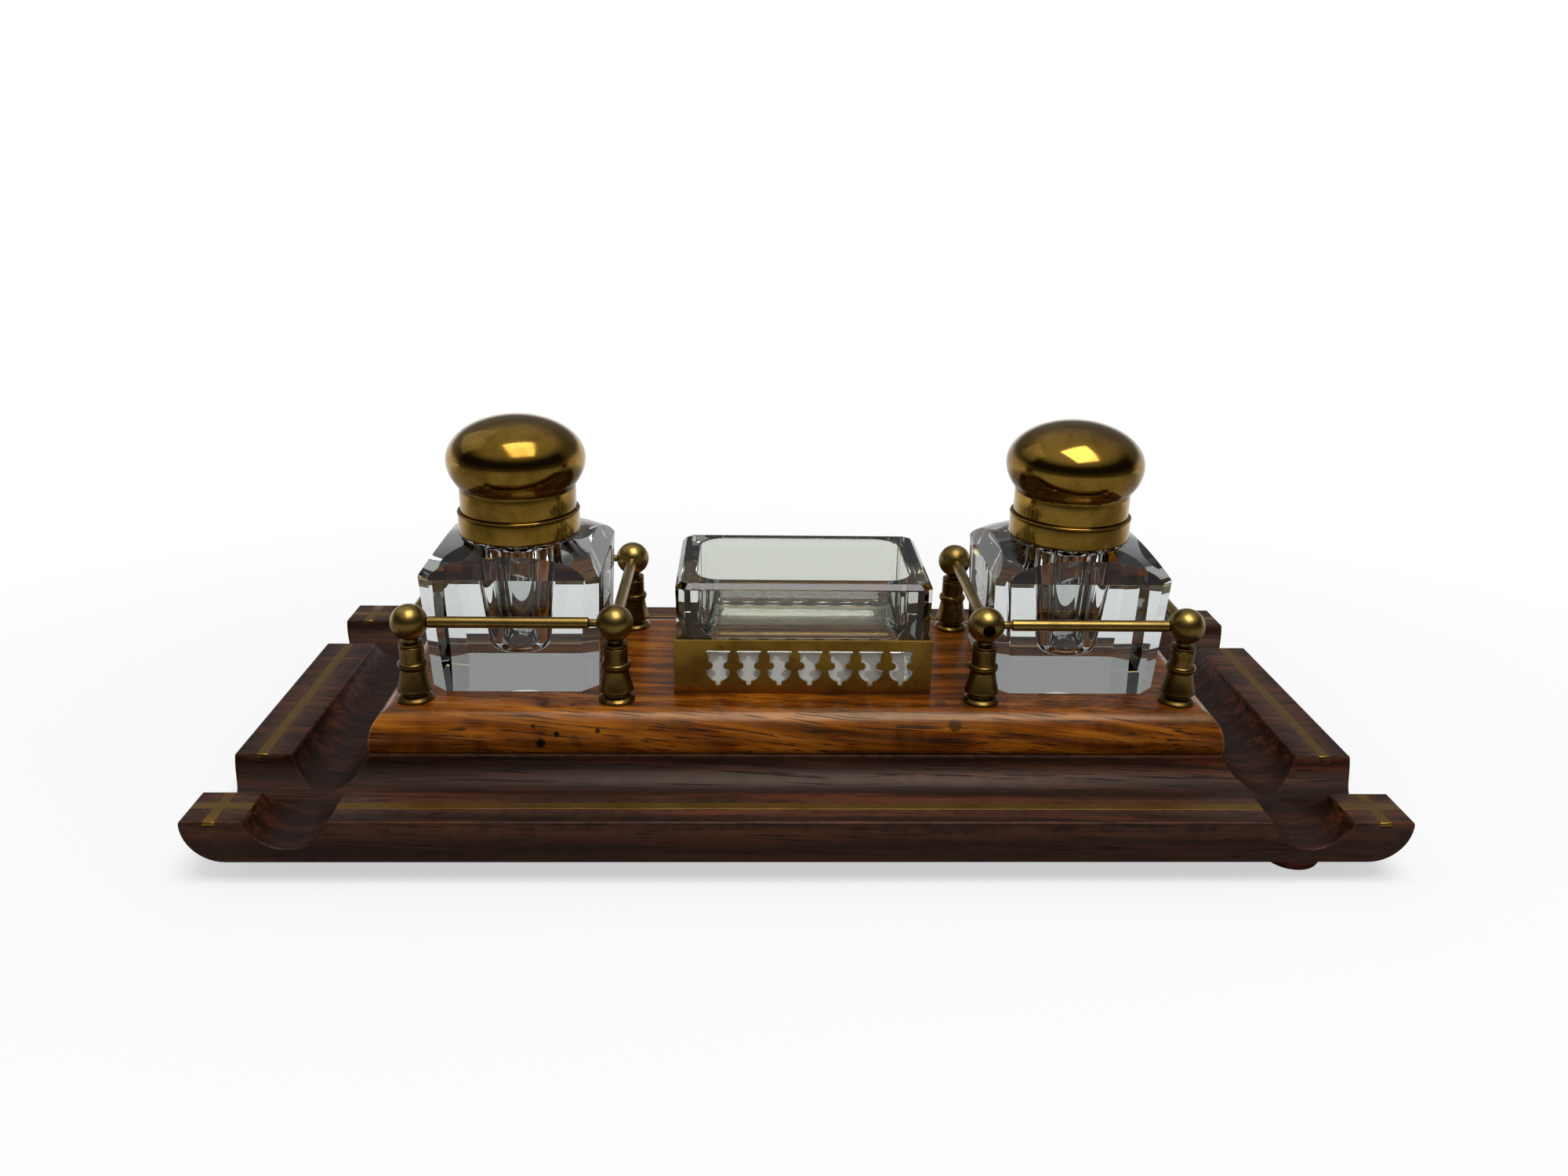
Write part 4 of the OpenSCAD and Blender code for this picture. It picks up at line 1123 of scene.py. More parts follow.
@dataclass
class BaseBoard:
    """The rosewood board, its four crossing pen grooves and the channels for the brass."""

    shop: Workshop
    levels: Levels
    width: float = 375.0
    depth: float = 183.0
    end_round: float = 12.4
    groove_width: float = 25.5
    groove_depth: float = 9.4
    side_rail: float = 18.6
    long_rail: float = 18.2
    strip_width: float = 3.7
    strip_depth: float = 1.2
    strip_room: float = 0.05
    strip_from_end: float = 8.9
    strip_from_front: float = 10.0
    arris: float = 0.5
    outer_arris: float = 0.6
    screw_x: float = 100.0
    screw_y: float = 18.0
    apron: float = 0.8

    def __post_init__(self) -> None:
        """Works out the grooves' section."""
        half = self.groove_width / 2
        self.radius = (half ** 2 + self.groove_depth ** 2) / (2 * self.groove_depth)
        self.rise = self.radius - self.groove_depth
        self.shoulder = math.sqrt((self.radius + self.arris) ** 2 - (self.rise + self.arris) ** 2)
        self.tangent = self.shoulder * self.radius / (self.radius + self.arris)
        self.groove_x = self.width / 2 - self.side_rail - half
        self.groove_y = self.depth / 2 - self.long_rail - half
        self.strip_x = self.width / 2 - self.strip_from_end
        self.strip_y = self.depth / 2 - self.strip_from_front

    def dip(self, offset: float) -> float:
        """How far the groove's wall lies below the board's top at a distance from its middle."""
        t = abs(offset)
        if t >= self.shoulder:
            return 0.0
        if t > self.tangent:
            return self.arris - math.sqrt(max(0.0, self.arris ** 2 - (self.shoulder - t) ** 2))
        return math.sqrt(self.radius ** 2 - t ** 2) - self.rise

    def roll(self, distance: float) -> float:
        """How far the outer arris has dropped at a distance from the board's edge."""
        r = self.outer_arris
        if distance >= r:
            return 0.0
        return r - math.sqrt(max(0.0, r ** 2 - (r - distance) ** 2))

    def stops(self, end: float, groove: float, strip: float) -> list[float]:
        """Where the mesh is cut along one axis, from the middle to the outer edge, both ways."""
        half = math.degrees(math.asin(self.tangent / self.radius))
        walls = arc(self.radius, 0, 0, -90 - half, -90 + half, 40)
        bends = [self.shoulder - self.arris * s for s in (0.0, 0.12, 0.4)]
        out = [0.0, groove - self.shoulder - self.apron]
        out += [groove - b for b in bends]
        out += [groove + x for x, _ in walls]
        out += [groove + b for b in reversed(bends)]
        out += [groove + self.shoulder + self.apron]
        wide = self.strip_width / 2 + self.strip_room
        out += [strip + edge + side for edge in (-wide, wide) for side in (-0.005, 0.005)]
        out += [end - self.outer_arris * s for s in (2.2, 1.0, 0.62, 0.3, 0.08, 0.0)]
        out = sorted(set(round(v, 5) for v in out))
        return [-v for v in reversed(out) if v > 0] + out

    def height(self, x: float, y: float) -> float:
        """The board's height below its top at a point, grooves, channels and arrises included."""
        wide = self.strip_width / 2 + self.strip_room
        channel = abs(abs(x) - self.strip_x) < wide or abs(abs(y) - self.strip_y) < wide
        deep = max(self.dip(abs(x) - self.groove_x), self.dip(abs(y) - self.groove_y),
                   self.strip_depth + self.strip_room if channel else 0.0)
        return -deep - self.roll(self.width / 2 - abs(x)) - self.roll(self.depth / 2 - abs(y))

    def reach(self, z: float) -> float:
        """How far out the rounded end reaches at a height above the board's underside."""
        low = self.end_round
        if z >= low:
            return self.width / 2
        return self.width / 2 - low + math.sqrt(max(0.0, low ** 2 - (low - z) ** 2))

    def board(self) -> bpy.types.Object:
        """Builds the board.

        Returns:
            the object.
        """
        xs = self.stops(self.width / 2, self.groove_x, self.strip_x)
        ys = self.stops(self.depth / 2, self.groove_y, self.strip_y)
        top, foot = self.levels.board_top, self.levels.foot
        hinge = self.groove_x + self.shoulder + self.apron
        shell = Shell()
        rows: list[list[int]] = []
        for y in ys:
            limit = self.reach(self.levels.board + self.height(self.width / 2, y))
            stretch = (limit - hinge) / (self.width / 2 - hinge)
            line = []
            for x in xs:
                far = abs(x)
                placed = far if far <= hinge else hinge + (far - hinge) * stretch
                line.append((math.copysign(placed, x), y, top + self.height(x, y)))
            rows.append(shell.loop(line))
        for j in range(len(ys) - 1):
            for i in range(len(xs) - 1):
                a, b, c, d = rows[j][i], rows[j][i + 1], rows[j + 1][i + 1], rows[j + 1][i]
                mid = self.height((xs[i] + xs[i + 1]) / 2, (ys[j] + ys[j + 1]) / 2)
                z = [shell.points[k][2] - top for k in (a, b, c, d)]
                if abs((z[0] + z[2]) / 2 - mid) < 1e-4 and abs((z[1] + z[3]) / 2 - mid) < 1e-4:
                    shell.faces.append((a, b, c, d))
                elif abs((z[0] + z[2]) / 2 - mid) <= abs((z[1] + z[3]) / 2 - mid):
                    shell.faces += [(a, b, c), (a, c, d)]
                else:
                    shell.faces += [(a, b, d), (b, c, d)]
        ends = {s: self._end(shell, rows, s, foot) for s in (-1, 1)}
        for row, j in ((rows[0], 0), (rows[-1], -1)):
            right = [column[j] for column in ends[1]]
            left = [column[j] for column in ends[-1]]
            ring = row + right[1:] + list(reversed(left[1:]))
            shell.faces.append(tuple(ring if j else reversed(ring)))
        self._underside(shell, ends)
        piece = shell.build("rosewood_board", 28)
        weighted(piece)
        return piece

    def _end(self, shell: Shell, rows: list[list[int]], s: int, foot: float) -> list[list[int]]:
        """Runs the rounded end down from the last column of the top.

        Returns:
            the columns of point numbers from the top to the underside.
        """
        column = [row[-1] if s > 0 else row[0] for row in rows]
        columns = [column]
        low = self.end_round
        steps = 12
        for k in range(steps + 1):
            line = []
            for number in column:
                _, y, z = shell.points[number]
                start = max(0.0, low - (z - foot))
                first = math.asin(min(1.0, start / low))
                share = k / steps if start == 0 else (k + 1) / (steps + 1)
                angle = first + (math.pi / 2 - first) * share
                line.append((s * (self.width / 2 - low + low * math.cos(angle)), y,
                             foot + low - low * math.sin(angle)))
            columns.append(shell.loop(line))
            a, b = (columns[-2], columns[-1]) if s > 0 else (columns[-1], columns[-2])
            shell.bridge(a, b, closed=False)
        return columns

    def _underside(self, shell: Shell, ends: dict[int, list[list[int]]]) -> None:
        """Closes the flat underside round the four countersunk screw holes."""
        foot = self.levels.foot
        ring = ends[1][-1] + list(reversed(ends[-1][-1]))
        holes = []
        for sx in (-1, 1):
            for sy in (-1, 1):
                circles = []
                for r, z in ((3.7, 0.0), (3.7, 0.6), (1.85, 2.45), (1.85, 6.0)):
                    circles.append(shell.loop(
                        (sx * self.screw_x + px, sy * self.screw_y + py, foot + z)
                        for px, py in arc(r, 0, 0, 0, 345, 23)))
                for low, high in zip(circles, circles[1:]):
                    shell.bridge(high, low)
                shell.faces.append(tuple(circles[-1]))
                holes.append(circles[0])
        work = bmesh.new()
        verts = {n: work.verts.new(shell.points[n]) for loop in [ring, *holes] for n in loop}
        lookup = {v: n for n, v in verts.items()}
        edges = []
        for loop in [ring, *holes]:
            for a, b in zip(loop, loop[1:] + loop[:1]):
                edges.append(work.edges.new((verts[a], verts[b])))
        filled = bmesh.ops.triangle_fill(work, use_beauty=True, edges=edges, normal=(0, 0, -1))
        for item in filled["geom"]:
            if isinstance(item, bmesh.types.BMFace):
                shell.faces.append(tuple(lookup[v] for v in item.verts))
        work.free()

    def strip(self, along_x: bool, start: float, end: float, middle: float, outer: float) -> Shell:
        """A brass strip flush with the board's top, its ends following the grooves' walls.

        Args:
            along_x: whether it runs along X, or along Y.
            start: where its lower face begins.
            end: where its lower face ends.
            middle: the strip's middle across its run.
            outer: the board's outer face on this axis, to roll the strip's end with it.
        Returns:
            the closed shell.
        """
        groove = self.groove_x if along_x else self.groove_y
        line = self._strip_end(start, groove, outer) + self._strip_end(end, groove, outer)
        line = [(line[0][0], -self.strip_depth)] + line + [(line[-1][0], -self.strip_depth)]
        half, worn = self.strip_width / 2, 0.06
        top = self.levels.board_top
        rings = []
        for across, trim in ((-half, worn), (-half + worn, 0.0), (half - worn, 0.0), (half, worn)):
            ring = []
            for run, z in line:
                low = z - (trim if z > -self.strip_depth + 0.1 else 0.0)
                spot = (run, middle + across) if along_x else (middle + across, run)
                ring.append((*spot, top + low))
            rings.append(ring)
        shell = Shell()
        loops = [shell.loop(ring) for ring in rings]
        for low, high in zip(loops, loops[1:]):
            shell.bridge(low, high)
        shell.faces += [tuple(loops[0]), tuple(reversed(loops[-1]))]
        return shell

    def _strip_end(self, place: float, groove: float, outer: float) -> list[Flat]:
        """The upper line of a strip's end, down a groove's wall or over the board's outer arris."""
        if abs(abs(place) - outer) < 0.01:
            return sorted((math.copysign(outer - d, place), -self.roll(d))
                          for d in (0.6, 0.35, 0.15, 0.04, 0.0))
        if abs(abs(place) - groove) >= self.shoulder + 1:
            return [(place, 0.0)]
        sign = 1 if abs(place) > groove else -1
        offsets = [self.tangent - 0.62 + 1.2 * k / 14 for k in range(15)]
        return sorted((math.copysign(groove + sign * t, place), -self.dip(t))
                      for t in offsets if self.dip(t) <= self.strip_depth)

    def stringing(self) -> None:
        """Builds and dresses the strips and the corner crosses."""
        look = self.shop.finishes.inlay_brass
        reach = self.tangent + 0.01
        inner_x, inner_y = self.groove_x - reach, self.groove_y - reach
        outer_x, outer_y = self.groove_x + reach, self.groove_y + reach
        end_x, end_y = self.width / 2, self.depth / 2
        for s, name in FRONT_AND_BACK:
            shell = self.strip(True, -inner_x, inner_x, s * self.strip_y, end_x)
            dress(shell.build(f"{name}_strip"), look, "stand", "inlay_brass", f"{name}_stringing")
        for s, name in LEFT_AND_RIGHT:
            shell = self.strip(False, -inner_y, inner_y, s * self.strip_x, end_y)
            dress(shell.build(f"{name}_strip"), look, "stand", "inlay_brass", f"{name}_stringing")
        gap = self.strip_width / 2 + self.strip_room
        for sy, fb in FRONT_AND_BACK:
            for sx, lr in LEFT_AND_RIGHT:
                bar = self.strip(True, *sorted((sx * outer_x, sx * end_x)), sy * self.strip_y,
                                 end_x)
                near = self.strip(False, *sorted((sy * outer_y, sy * (self.strip_y - gap))),
                                  sx * self.strip_x, end_y)
                far = self.strip(False, *sorted((sy * (self.strip_y + gap), sy * end_y)),
                                 sx * self.strip_x, end_y)
                bar.join(near)
                bar.join(far)
                dress(bar.build(f"{fb}_{lr}_cross"), look, "stand", "inlay_brass",
                      f"cross_{fb}_{lr}")

    def build(self) -> None:
        """Builds and dresses the board, its inlay and its screws."""
        dress(self.board(), self.shop.finishes.rosewood, "stand", "rosewood", "base_board")
        self.stringing()
        self.screws()

    def screws(self) -> None:
        """Countersunk slotted wood screws that hold the plinth from below."""
        profile = [(0, 0.0), (3.45, 0.0), (3.6, 0.1), (1.75, 1.95), (1.75, 19.0), (0.9, 20.0),
                   (0, 20.0)]
        head = turned(profile, 40).build("screw_blank", 30)
        slot = Shell()
        slot.skin([[(sx * 5, sy * 0.5, z) for sx, sy in QUARTERS] for z in (-1.0, 0.6)])
        slot.faces += [(3, 2, 1, 0), (4, 5, 6, 7)]
        screw = carve(head, [slot.build("slot_tool")])
        z = self.levels.foot + 0.6
        places = [((sx * self.screw_x, sy * self.screw_y, z), 37.0 * i)
                  for i, (sx, sy) in enumerate(((-1, -1), (1, -1), (-1, 1), (1, 1)))]
        iron = self.shop.finishes.iron
        piece = self.shop.repeat(screw, places, "plinth_wood_screws", iron, 0.6, 4)
        dress(piece, iron, "stand", "iron", "plinth_screws")


@dataclass
class Feet:
    """Four small turned feet."""

    shop: Workshop
    levels: Levels
    diameter: float = 18.5
    x: float = 157.5
    y: float = 76.5
    set_back: float = 7.0

    def build(self) -> None:
        """Builds a turned foot under each corner; the front left one stands further back."""
        h, r = self.levels.foot, self.diameter / 2
        sole, belly = r - 1.6, h / 2
        side = arc(1.6, sole, belly, -80, 60, 14, belly)
        profile = [(0, 0.0), (sole - 2.4, 0.0), (sole, 0.02), *side, (sole + 0.5, h - 0.01),
                   (sole, h), (0, h)]
        for i, (sx, sy) in enumerate(((-1, -1), (1, -1), (-1, 1), (1, 1))):
            back = self.set_back if sx < 0 and sy < 0 else 0.0
            foot = turned(profile, 56).placed(at(sx * self.x, sy * self.y + back, 0, 23 * i))
            fb, lr = ("front" if sy < 0 else "back"), ("left" if sx < 0 else "right")
            piece = foot.build(f"{fb}_{lr}_foot", 50)
            dress(piece, self.shop.finishes.stained_wood, "stand", "stained_wood",
                  f"foot_{fb}_{lr}")


@dataclass
class Plinth:
    """The mahogany plinth with a thumb moulding along its four sides."""

    shop: Workshop
    levels: Levels
    width: float = 287.9
    depth: float = 95.3
    run: float = 8.0
    foot: float = 2.2
    under: float = 0.9
    corner: float = 0.6

    def section(self) -> list[Flat]:
        """The moulding from the underside to the flat: insets from its widest line, and heights."""
        run, foot, under, top = self.run, self.foot, self.under, self.levels.plinth
        return [(under + 3.0, 0.0), *arc(-under, under, foot, -90, -15, 5, foot),
                *arc(-run, run, foot, 0, 84, 14, top - foot), (run - 0.12, top - 0.01),
                (run + 0.12, top), (run + 2.0, top), (run + 20.0, top)]

    def build(self) -> None:
        """Builds and dresses the plinth."""
        z0, t = self.levels.board_top, self.levels.plinth
        rings: list[list[Point]] = [[(0.0, 0.0, z0)]]
        for inset, z in self.section():
            ring = block_ring(self.width / 2 - inset, self.depth / 2 - inset, self.corner,
                              Corner.ROUND, 36, 4)
            rings.append([(x, y, z0 + z) for x, y in ring])
        rings.append([(0.0, 0.0, z0 + t)])
        shell = Shell()
        shell.skin(rings)
        piece = shell.build("mahogany_plinth", 40)
        weighted(piece)
        dress(piece, self.shop.finishes.mahogany, "stand", "mahogany", "plinth")


@dataclass
class Gallery:
    """Four turned posts, four drilled balls and four rods round one inkwell."""

    shop: Workshop
    levels: Levels
    side: Side
    x: float = 96.3
    pitch: float = 68.0
    ball: float = 12.3
    ball_height: float = 27.8
    rod: float = 3.9
    tenon: float = 2.6
    bore_depth: float = 3.2
    slack: float = 2.4
    open_bore: float = 4.3

    def corners(self) -> list[tuple[int, int, float, float]]:
        """The signs and the places of the four posts."""
        return [(ix, iy, self.side.value * self.x + ix * self.pitch / 2, iy * self.pitch / 2)
                for iy in (-1, 1) for ix in (-1, 1)]

    def node(self, kind: str, ix: int, iy: int) -> str:
        """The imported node's name of a corner piece."""
        fb, lr = ("front" if iy < 0 else "back"), ("left" if ix < 0 else "right")
        return f"{self.side.word}_{kind}_{fb}_{lr}"

    def post_profile(self) -> list[Flat]:
        """The turned post's outline, from the flange up to the neck under the ball."""
        flange = [(0, 0.0), (6.0, 0.0), (6.17, 0.12), (6.2, 0.3), (6.2, 0.75), (6.08, 0.95),
                  (5.05, 1.78), (4.85, 1.9)]
        cove = [(4.62, 1.98), (4.42, 2.2), (4.32, 2.6), (4.3, 2.9), (4.36, 3.2), (4.62, 3.48),
                (5.1, 3.64), (5.5, 3.7)]
        drum = [(5.72, 3.76), (5.8, 3.88), (5.8, 4.1)]
        drum += [(4.35 + 1.45 * (1 - k / 12) ** 1.35, 4.2 + 7.1 * k / 12) for k in range(13)]
        bead = [(4.15, 11.45), (4.12, 11.58), *arc(0.95, 4.1, 12.8, -80, 80, 10, 1.18),
                (4.13, 14.02)]
        barrel = [(4.1, 14.2), (4.1, 15.5), (4.1, 18.6), (4.1, 19.28), (4.06, 19.38),
                  (3.85, 19.6), (4.06, 19.82)]
        disc = [(4.1, 19.9), (4.1, 20.4), (4.1, 20.66), (4.04, 20.8), (3.9, 20.85), (3.0, 20.85)]
        neck = [(2.6, 20.9), (2.5, 21.05), (2.5, 21.6), (2.5, 22.18), (0, 22.18)]
        return flange + cove + drum + bead + barrel + disc + neck

    def drilled_ball(self, open_front: bool) -> Shell | bpy.types.Object:
        """A ball with a bore below, one to +X and one to +Y, and perhaps an open one to -Y."""
        r = self.ball / 2
        side = arc(r, 0, 0, -86, 86, 43)
        ball = turned([(0, -r), *side, (0, r)], 64).build("ball_blank", 60)
        tools = []
        bores = [(self.tenon / 2 + 0.05, LIE_ALONG_X), (self.tenon / 2 + 0.05, LIE_ALONG_Y),
                 (1.55, Matrix.Rotation(math.pi, 4, "X"))]
        if open_front:
            bores.append((self.open_bore / 2, Matrix.Rotation(math.radians(90), 4, "X")))
        for radius, lie in bores:
            bottom = r - self.bore_depth
            profile = [(0, bottom - 0.4), (radius, bottom), (radius, r - 0.8), (radius, r - 0.25),
                       (radius + 0.5, r + 0.3), (0, r + 0.3)]
            tools.append(turned(profile, 28).placed(lie).build("bore_tool", 60))
        ball = carve(ball, tools, 32)
        for vertex, mark in zip(ball.data.vertices, ball.data.attributes["arris"].data):
            if vertex.co.length < (r - 0.2) * MM:
                mark.value = BLACKENED
        return ball

    def rod_shell(self, slack: float) -> Shell:
        """A rod between two balls along +Z, with a shoulder and a bare tenon at its far end."""
        r, t = self.rod / 2, self.tenon / 2
        start = self.ball / 2 + 0.05
        inner = self.ball / 2 - self.bore_depth + 0.15
        stop = self.pitch - start - slack
        profile = [(0, inner), (t, inner), (t, start), (r - 0.2, start), (r, start + 0.2),
                   (r, start + 2.0), (r, stop - 2.0), (r, stop - 0.25), (r - 0.25, stop),
                   (t, stop), (t, self.pitch - inner), (0, self.pitch - inner)]
        return turned(profile, 28)

    def build(self) -> None:
        """Builds and dresses the gallery."""
        brass = self.shop.finishes.turned_brass
        top = self.levels.plinth_top
        word = self.side.word
        corners = self.corners()
        post = turned(self.post_profile(), 56).build("post_blank", 36)
        places = [((x, y, top), 40.0 * i) for i, (_, _, x, y) in enumerate(corners)]
        posts = self.shop.repeat(post, places, f"{word}_gallery_posts", brass, 3.0, 11)
        mark_arrises(posts.data)
        dress(posts, self.shop.finishes.aged_brass, "stand", "turned_brass",
              *[self.node("post", ix, iy) for ix, iy, _, _ in corners])
        plain, special = [], None
        for ix, iy, x, y in corners:
            turn = {(-1, -1): 0, (1, -1): 90, (1, 1): 180, (-1, 1): 270}[(ix, iy)]
            if self.side is Side.RIGHT and (ix, iy) == (-1, -1):
                special = (ix, iy, x, y, turn)
            else:
                plain.append((ix, iy, x, y, turn))
        z = top + self.ball_height
        places = [((x, y, z), turn) for _, _, x, y, turn in plain]
        balls = self.shop.repeat(self.drilled_ball(False), places, f"{word}_gallery_balls", brass)
        mark_arrises(balls.data)
        dress(balls, brass, "stand", "turned_brass",
              *[self.node("ball", ix, iy) for ix, iy, *_ in plain])
        if special:
            ix, iy, x, y, _ = special
            ball = self.drilled_ball(True)
            ball.data.transform(Matrix.Translation((x * MM, y * MM, z * MM)))
            ball.name = f"{word}_open_ball"
            dress(ball, brass, "stand", "turned_brass", self.node("ball", ix, iy))
        s = self.side.value
        outward = Matrix.Rotation(math.radians(-90 * s), 4, "Y")
        rods = [(name, self.slack, at(s * (self.x + self.pitch / 2), iy * self.pitch / 2, z,
                                      tilt=outward)) for iy, name in FRONT_AND_BACK]
        rods += [(name, 0.0, at(s * self.x + ix * self.pitch / 2, -self.pitch / 2, z,
                                tilt=LIE_ALONG_Y)) for ix, name in LEFT_AND_RIGHT]
        for name, slack, lie in rods:
            rod = self.rod_shell(slack).placed(lie).build(f"{word}_{name}_gallery_rod", 40)
            dress(rod, brass, "stand", "turned_brass", f"{word}_rod_{name}")


# Facets round a spun collar or cap
SPUN_STEPS = 96


@dataclass
class Inkwell:
    """A square glass inkwell with its brass collar, hinge and domed cap."""

    shop: Workshop
    levels: Levels
    side: Side
    x: float = 96.3
    y: float = 0.3
    left_out: float = 2.0
    width: float = 60.5
    flare: float = 1.65
    cant: float = 4.5
    foot_cant: float = 5.6
    wall_height: float = 41.0
    lean: float = 35.0
    height: float = 49.2
    drop: float = 16.4
    reach: float = 2.5
    neck: float = 37.2
    neck_rise: float = 0.5
    mouth: float = 27.5
    cavity: float = 21.8
    floor: float = 9.0
    collar: float = 42.0
    collar_height: float = 8.0
    skirt: float = 40.0
    skirt_height: float = 8.5
    cap: float = 47.6
    dome_height: float = 14.89
    wall: float = 1.0
    knuckle: float = 4.0
    knuckle_width: float = 3.6
    ear_width: float = 3.2
    ear_gap: float = 0.3
    seam: float = 0.2
    lift: float = 0.08

    def __post_init__(self) -> None:
        """Works out the heights above the plinth."""
        self.span = math.hypot(self.width / 2, self.width / 2 - self.cant) + self.reach
        self.collar_z = self.height + self.neck_rise
        self.seam_z = self.collar_z + self.collar_height
        self.neck_top = self.seam_z - 0.8
        self.cap_z = self.seam_z + self.seam
        self.hinge_y = self.collar / 2 + self.knuckle / 2 + 0.5
        self.hinge_z = self.seam_z + self.seam / 2
        self.low = self.dome_height * math.sqrt(1 - (self.skirt / self.cap) ** 2) * 1.12
        self.mid = self.cap_z + self.skirt_height + self.low

    @property
    def place(self) -> Matrix:
        """Where the well stands."""
        out = self.left_out if self.side is Side.LEFT else 0.0
        return at(self.side.value * (self.x + out), self.y, self.levels.plinth_top)

    def shoulder(self, radius: float) -> float:
        """Height of the domed shoulder at a distance from the middle."""
        return self.height - self.drop * (1 - (1 - (radius / self.span) ** 2.85) ** (1 / 2.85))

    def blank(self) -> Shell:
        """The turned blank: shoulder, neck, lip and ink cavity, and a wide foot to be cut away."""
        n, m, top = self.neck / 2, self.mouth / 2, self.neck_top
        outside = [(0.0, -2.0), (44.0, -2.0), (44.0, 34.0)]
        first, last = self.span - 1.0, n + 1.3
        radii = [first + (last - first) * k / 26 for k in range(27)]
        outside += [(radius, self.shoulder(radius)) for radius in radii]
        h = self.height
        lip = [(n + 0.8, h - 0.58), (n + 0.4, h - 0.35), (n + 0.15, h), (n + 0.02, h + 0.4),
               (n, h + 0.8), (n, top - 1.0), (n - 0.2, top - 0.3), (n - 0.8, top),
               (m + 0.9, top), (m + 0.3, top - 0.3), (m, top - 1.0)]
        high, r = self.wall_height - 1.5, 5.0
        bend = arc(r, self.cavity / 2 - r, self.floor + r, -4, -90, 10)
        slope = (m - bend[0][0]) / (high - bend[0][1])
        inside = [(m, high + 1.5), (m, high + 0.6), (m - 0.03, high),
                  (m - 0.6 * slope - 0.03, high - 0.6)]
        inside += [(bend[0][0] + slope * (z - bend[0][1]), z) for z in (34.0, 28.0, 22.0, 17.0)]
        return turned(outside + lip + inside + bend[:-1] + [(0.0, self.floor)], 128)

    def bottle(self) -> bpy.types.Object:
        """The glass: the turned blank cut by widening walls, leaning facets and canted corners."""
        half, foot, low, up = self.width / 2, self.width / 2 - self.flare, self.lift, 60.0
        ridge = self.wall_height + half / math.tan(math.radians(self.lean))
        roofed = [(-foot, low), (foot, low), (half, self.wall_height), (0.0, ridge),
                  (-half, self.wall_height)]
        cant = (2 * half - self.cant) / math.sqrt(2)
        base = (2 * foot - self.foot_cant) / math.sqrt(2)
        wide = base + (cant - base) * up / self.wall_height
        canted = [(-base, low), (base, low), (wide, up), (-wide, up)]
        tools = [lying_bar(section, 120, turn).build("facet_tool", 30)
                 for section, turn in ((roofed, 0), (roofed, 90), (canted, 45), (canted, -45))]
        blank = self.blank().build(f"{self.side.word}_glass_inkwell", 30)
        piece = carve(blank, tools, 14, True)
        mesh = piece.data
        work = bmesh.new()
        work.from_mesh(mesh)
        rim = (self.neck / 2 + 3.0) * MM
        crisp = [float(len(e.link_faces) == 2 and e.calc_face_angle(0.0) > math.radians(10)
                       and all(math.hypot(v.co.x, v.co.y) > rim for v in e.verts))
                 for e in work.edges]
        work.free()
        mesh.attributes.new("bevel_weight_edge", "FLOAT", "EDGE").data.foreach_set("value", crisp)
        mesh.transform(Matrix.Translation(self.place.translation * MM))
        ground = piece.modifiers.new("ground_arris", "BEVEL")
        ground.limit_method = "WEIGHT"
        ground.width = 0.8 * MM
        ground.segments = 3
        weighted(piece)
        return piece

    def barrel(self, x0: float, x1: float, radius: float) -> Shell:
        """A knuckle or pin along X at the hinge, with softened ends."""
        length = x1 - x0
        profile = soften([(0, 0), (radius, 0), (radius, length), (0, length)], 0.3, 3)
        return turned(profile, 36).placed(at(x0, self.hinge_y, self.hinge_z, tilt=LIE_ALONG_X))

    def leaf(self, x0: float, x1: float, y0: float, z0: float, z1: float) -> Shell:
        """The short leaf that joins a knuckle to its collar or cap."""
        corners = [(y0, z0), (self.hinge_y, z0), (self.hinge_y, z1), (y0, z1)]
        section = soften(corners, 0.12, 2, True)
        return Shell().prism(*([(x, y, z) for y, z in section] for x in (x0, x1)))

    def collar_shell(self) -> Shell:
        """The collar with its rolled rim, foot bead and the two outer knuckles."""
        r, inner = self.collar / 2, self.neck / 2 + 0.15
        low, top = self.collar_z, self.seam_z
        outline = [(inner, low + 0.1), (inner + 0.3, low), (r - 0.5, low)]
        outline += arc(0.42, r - 0.42, low + 0.42, -90, 0, 4)
        outline += [(r - 0.02, low + 0.95), (r - 0.06, low + 1.3), (r - 0.06, top - 1.55)]
        outline += arc(0.5, r - 0.3, top - 0.5, -80, 90, 8)
        outline += [(r - 1.0, top - 0.02), (inner + 0.3, top - 0.02), (inner, top - 0.3)]
        shell = Shell()
        shell.skin(circles(outline, SPUN_STEPS), True)
        ear, radius = self.knuckle_width / 2 + self.ear_gap, self.knuckle / 2
        for x0, x1 in ((-ear - self.ear_width, -ear), (ear, ear + self.ear_width)):
            shell.join(self.barrel(x0, x1, radius))
            shell.join(self.leaf(x0, x1, self.skirt / 2, self.hinge_z - radius,
                                 self.hinge_z - 0.3))
        return shell

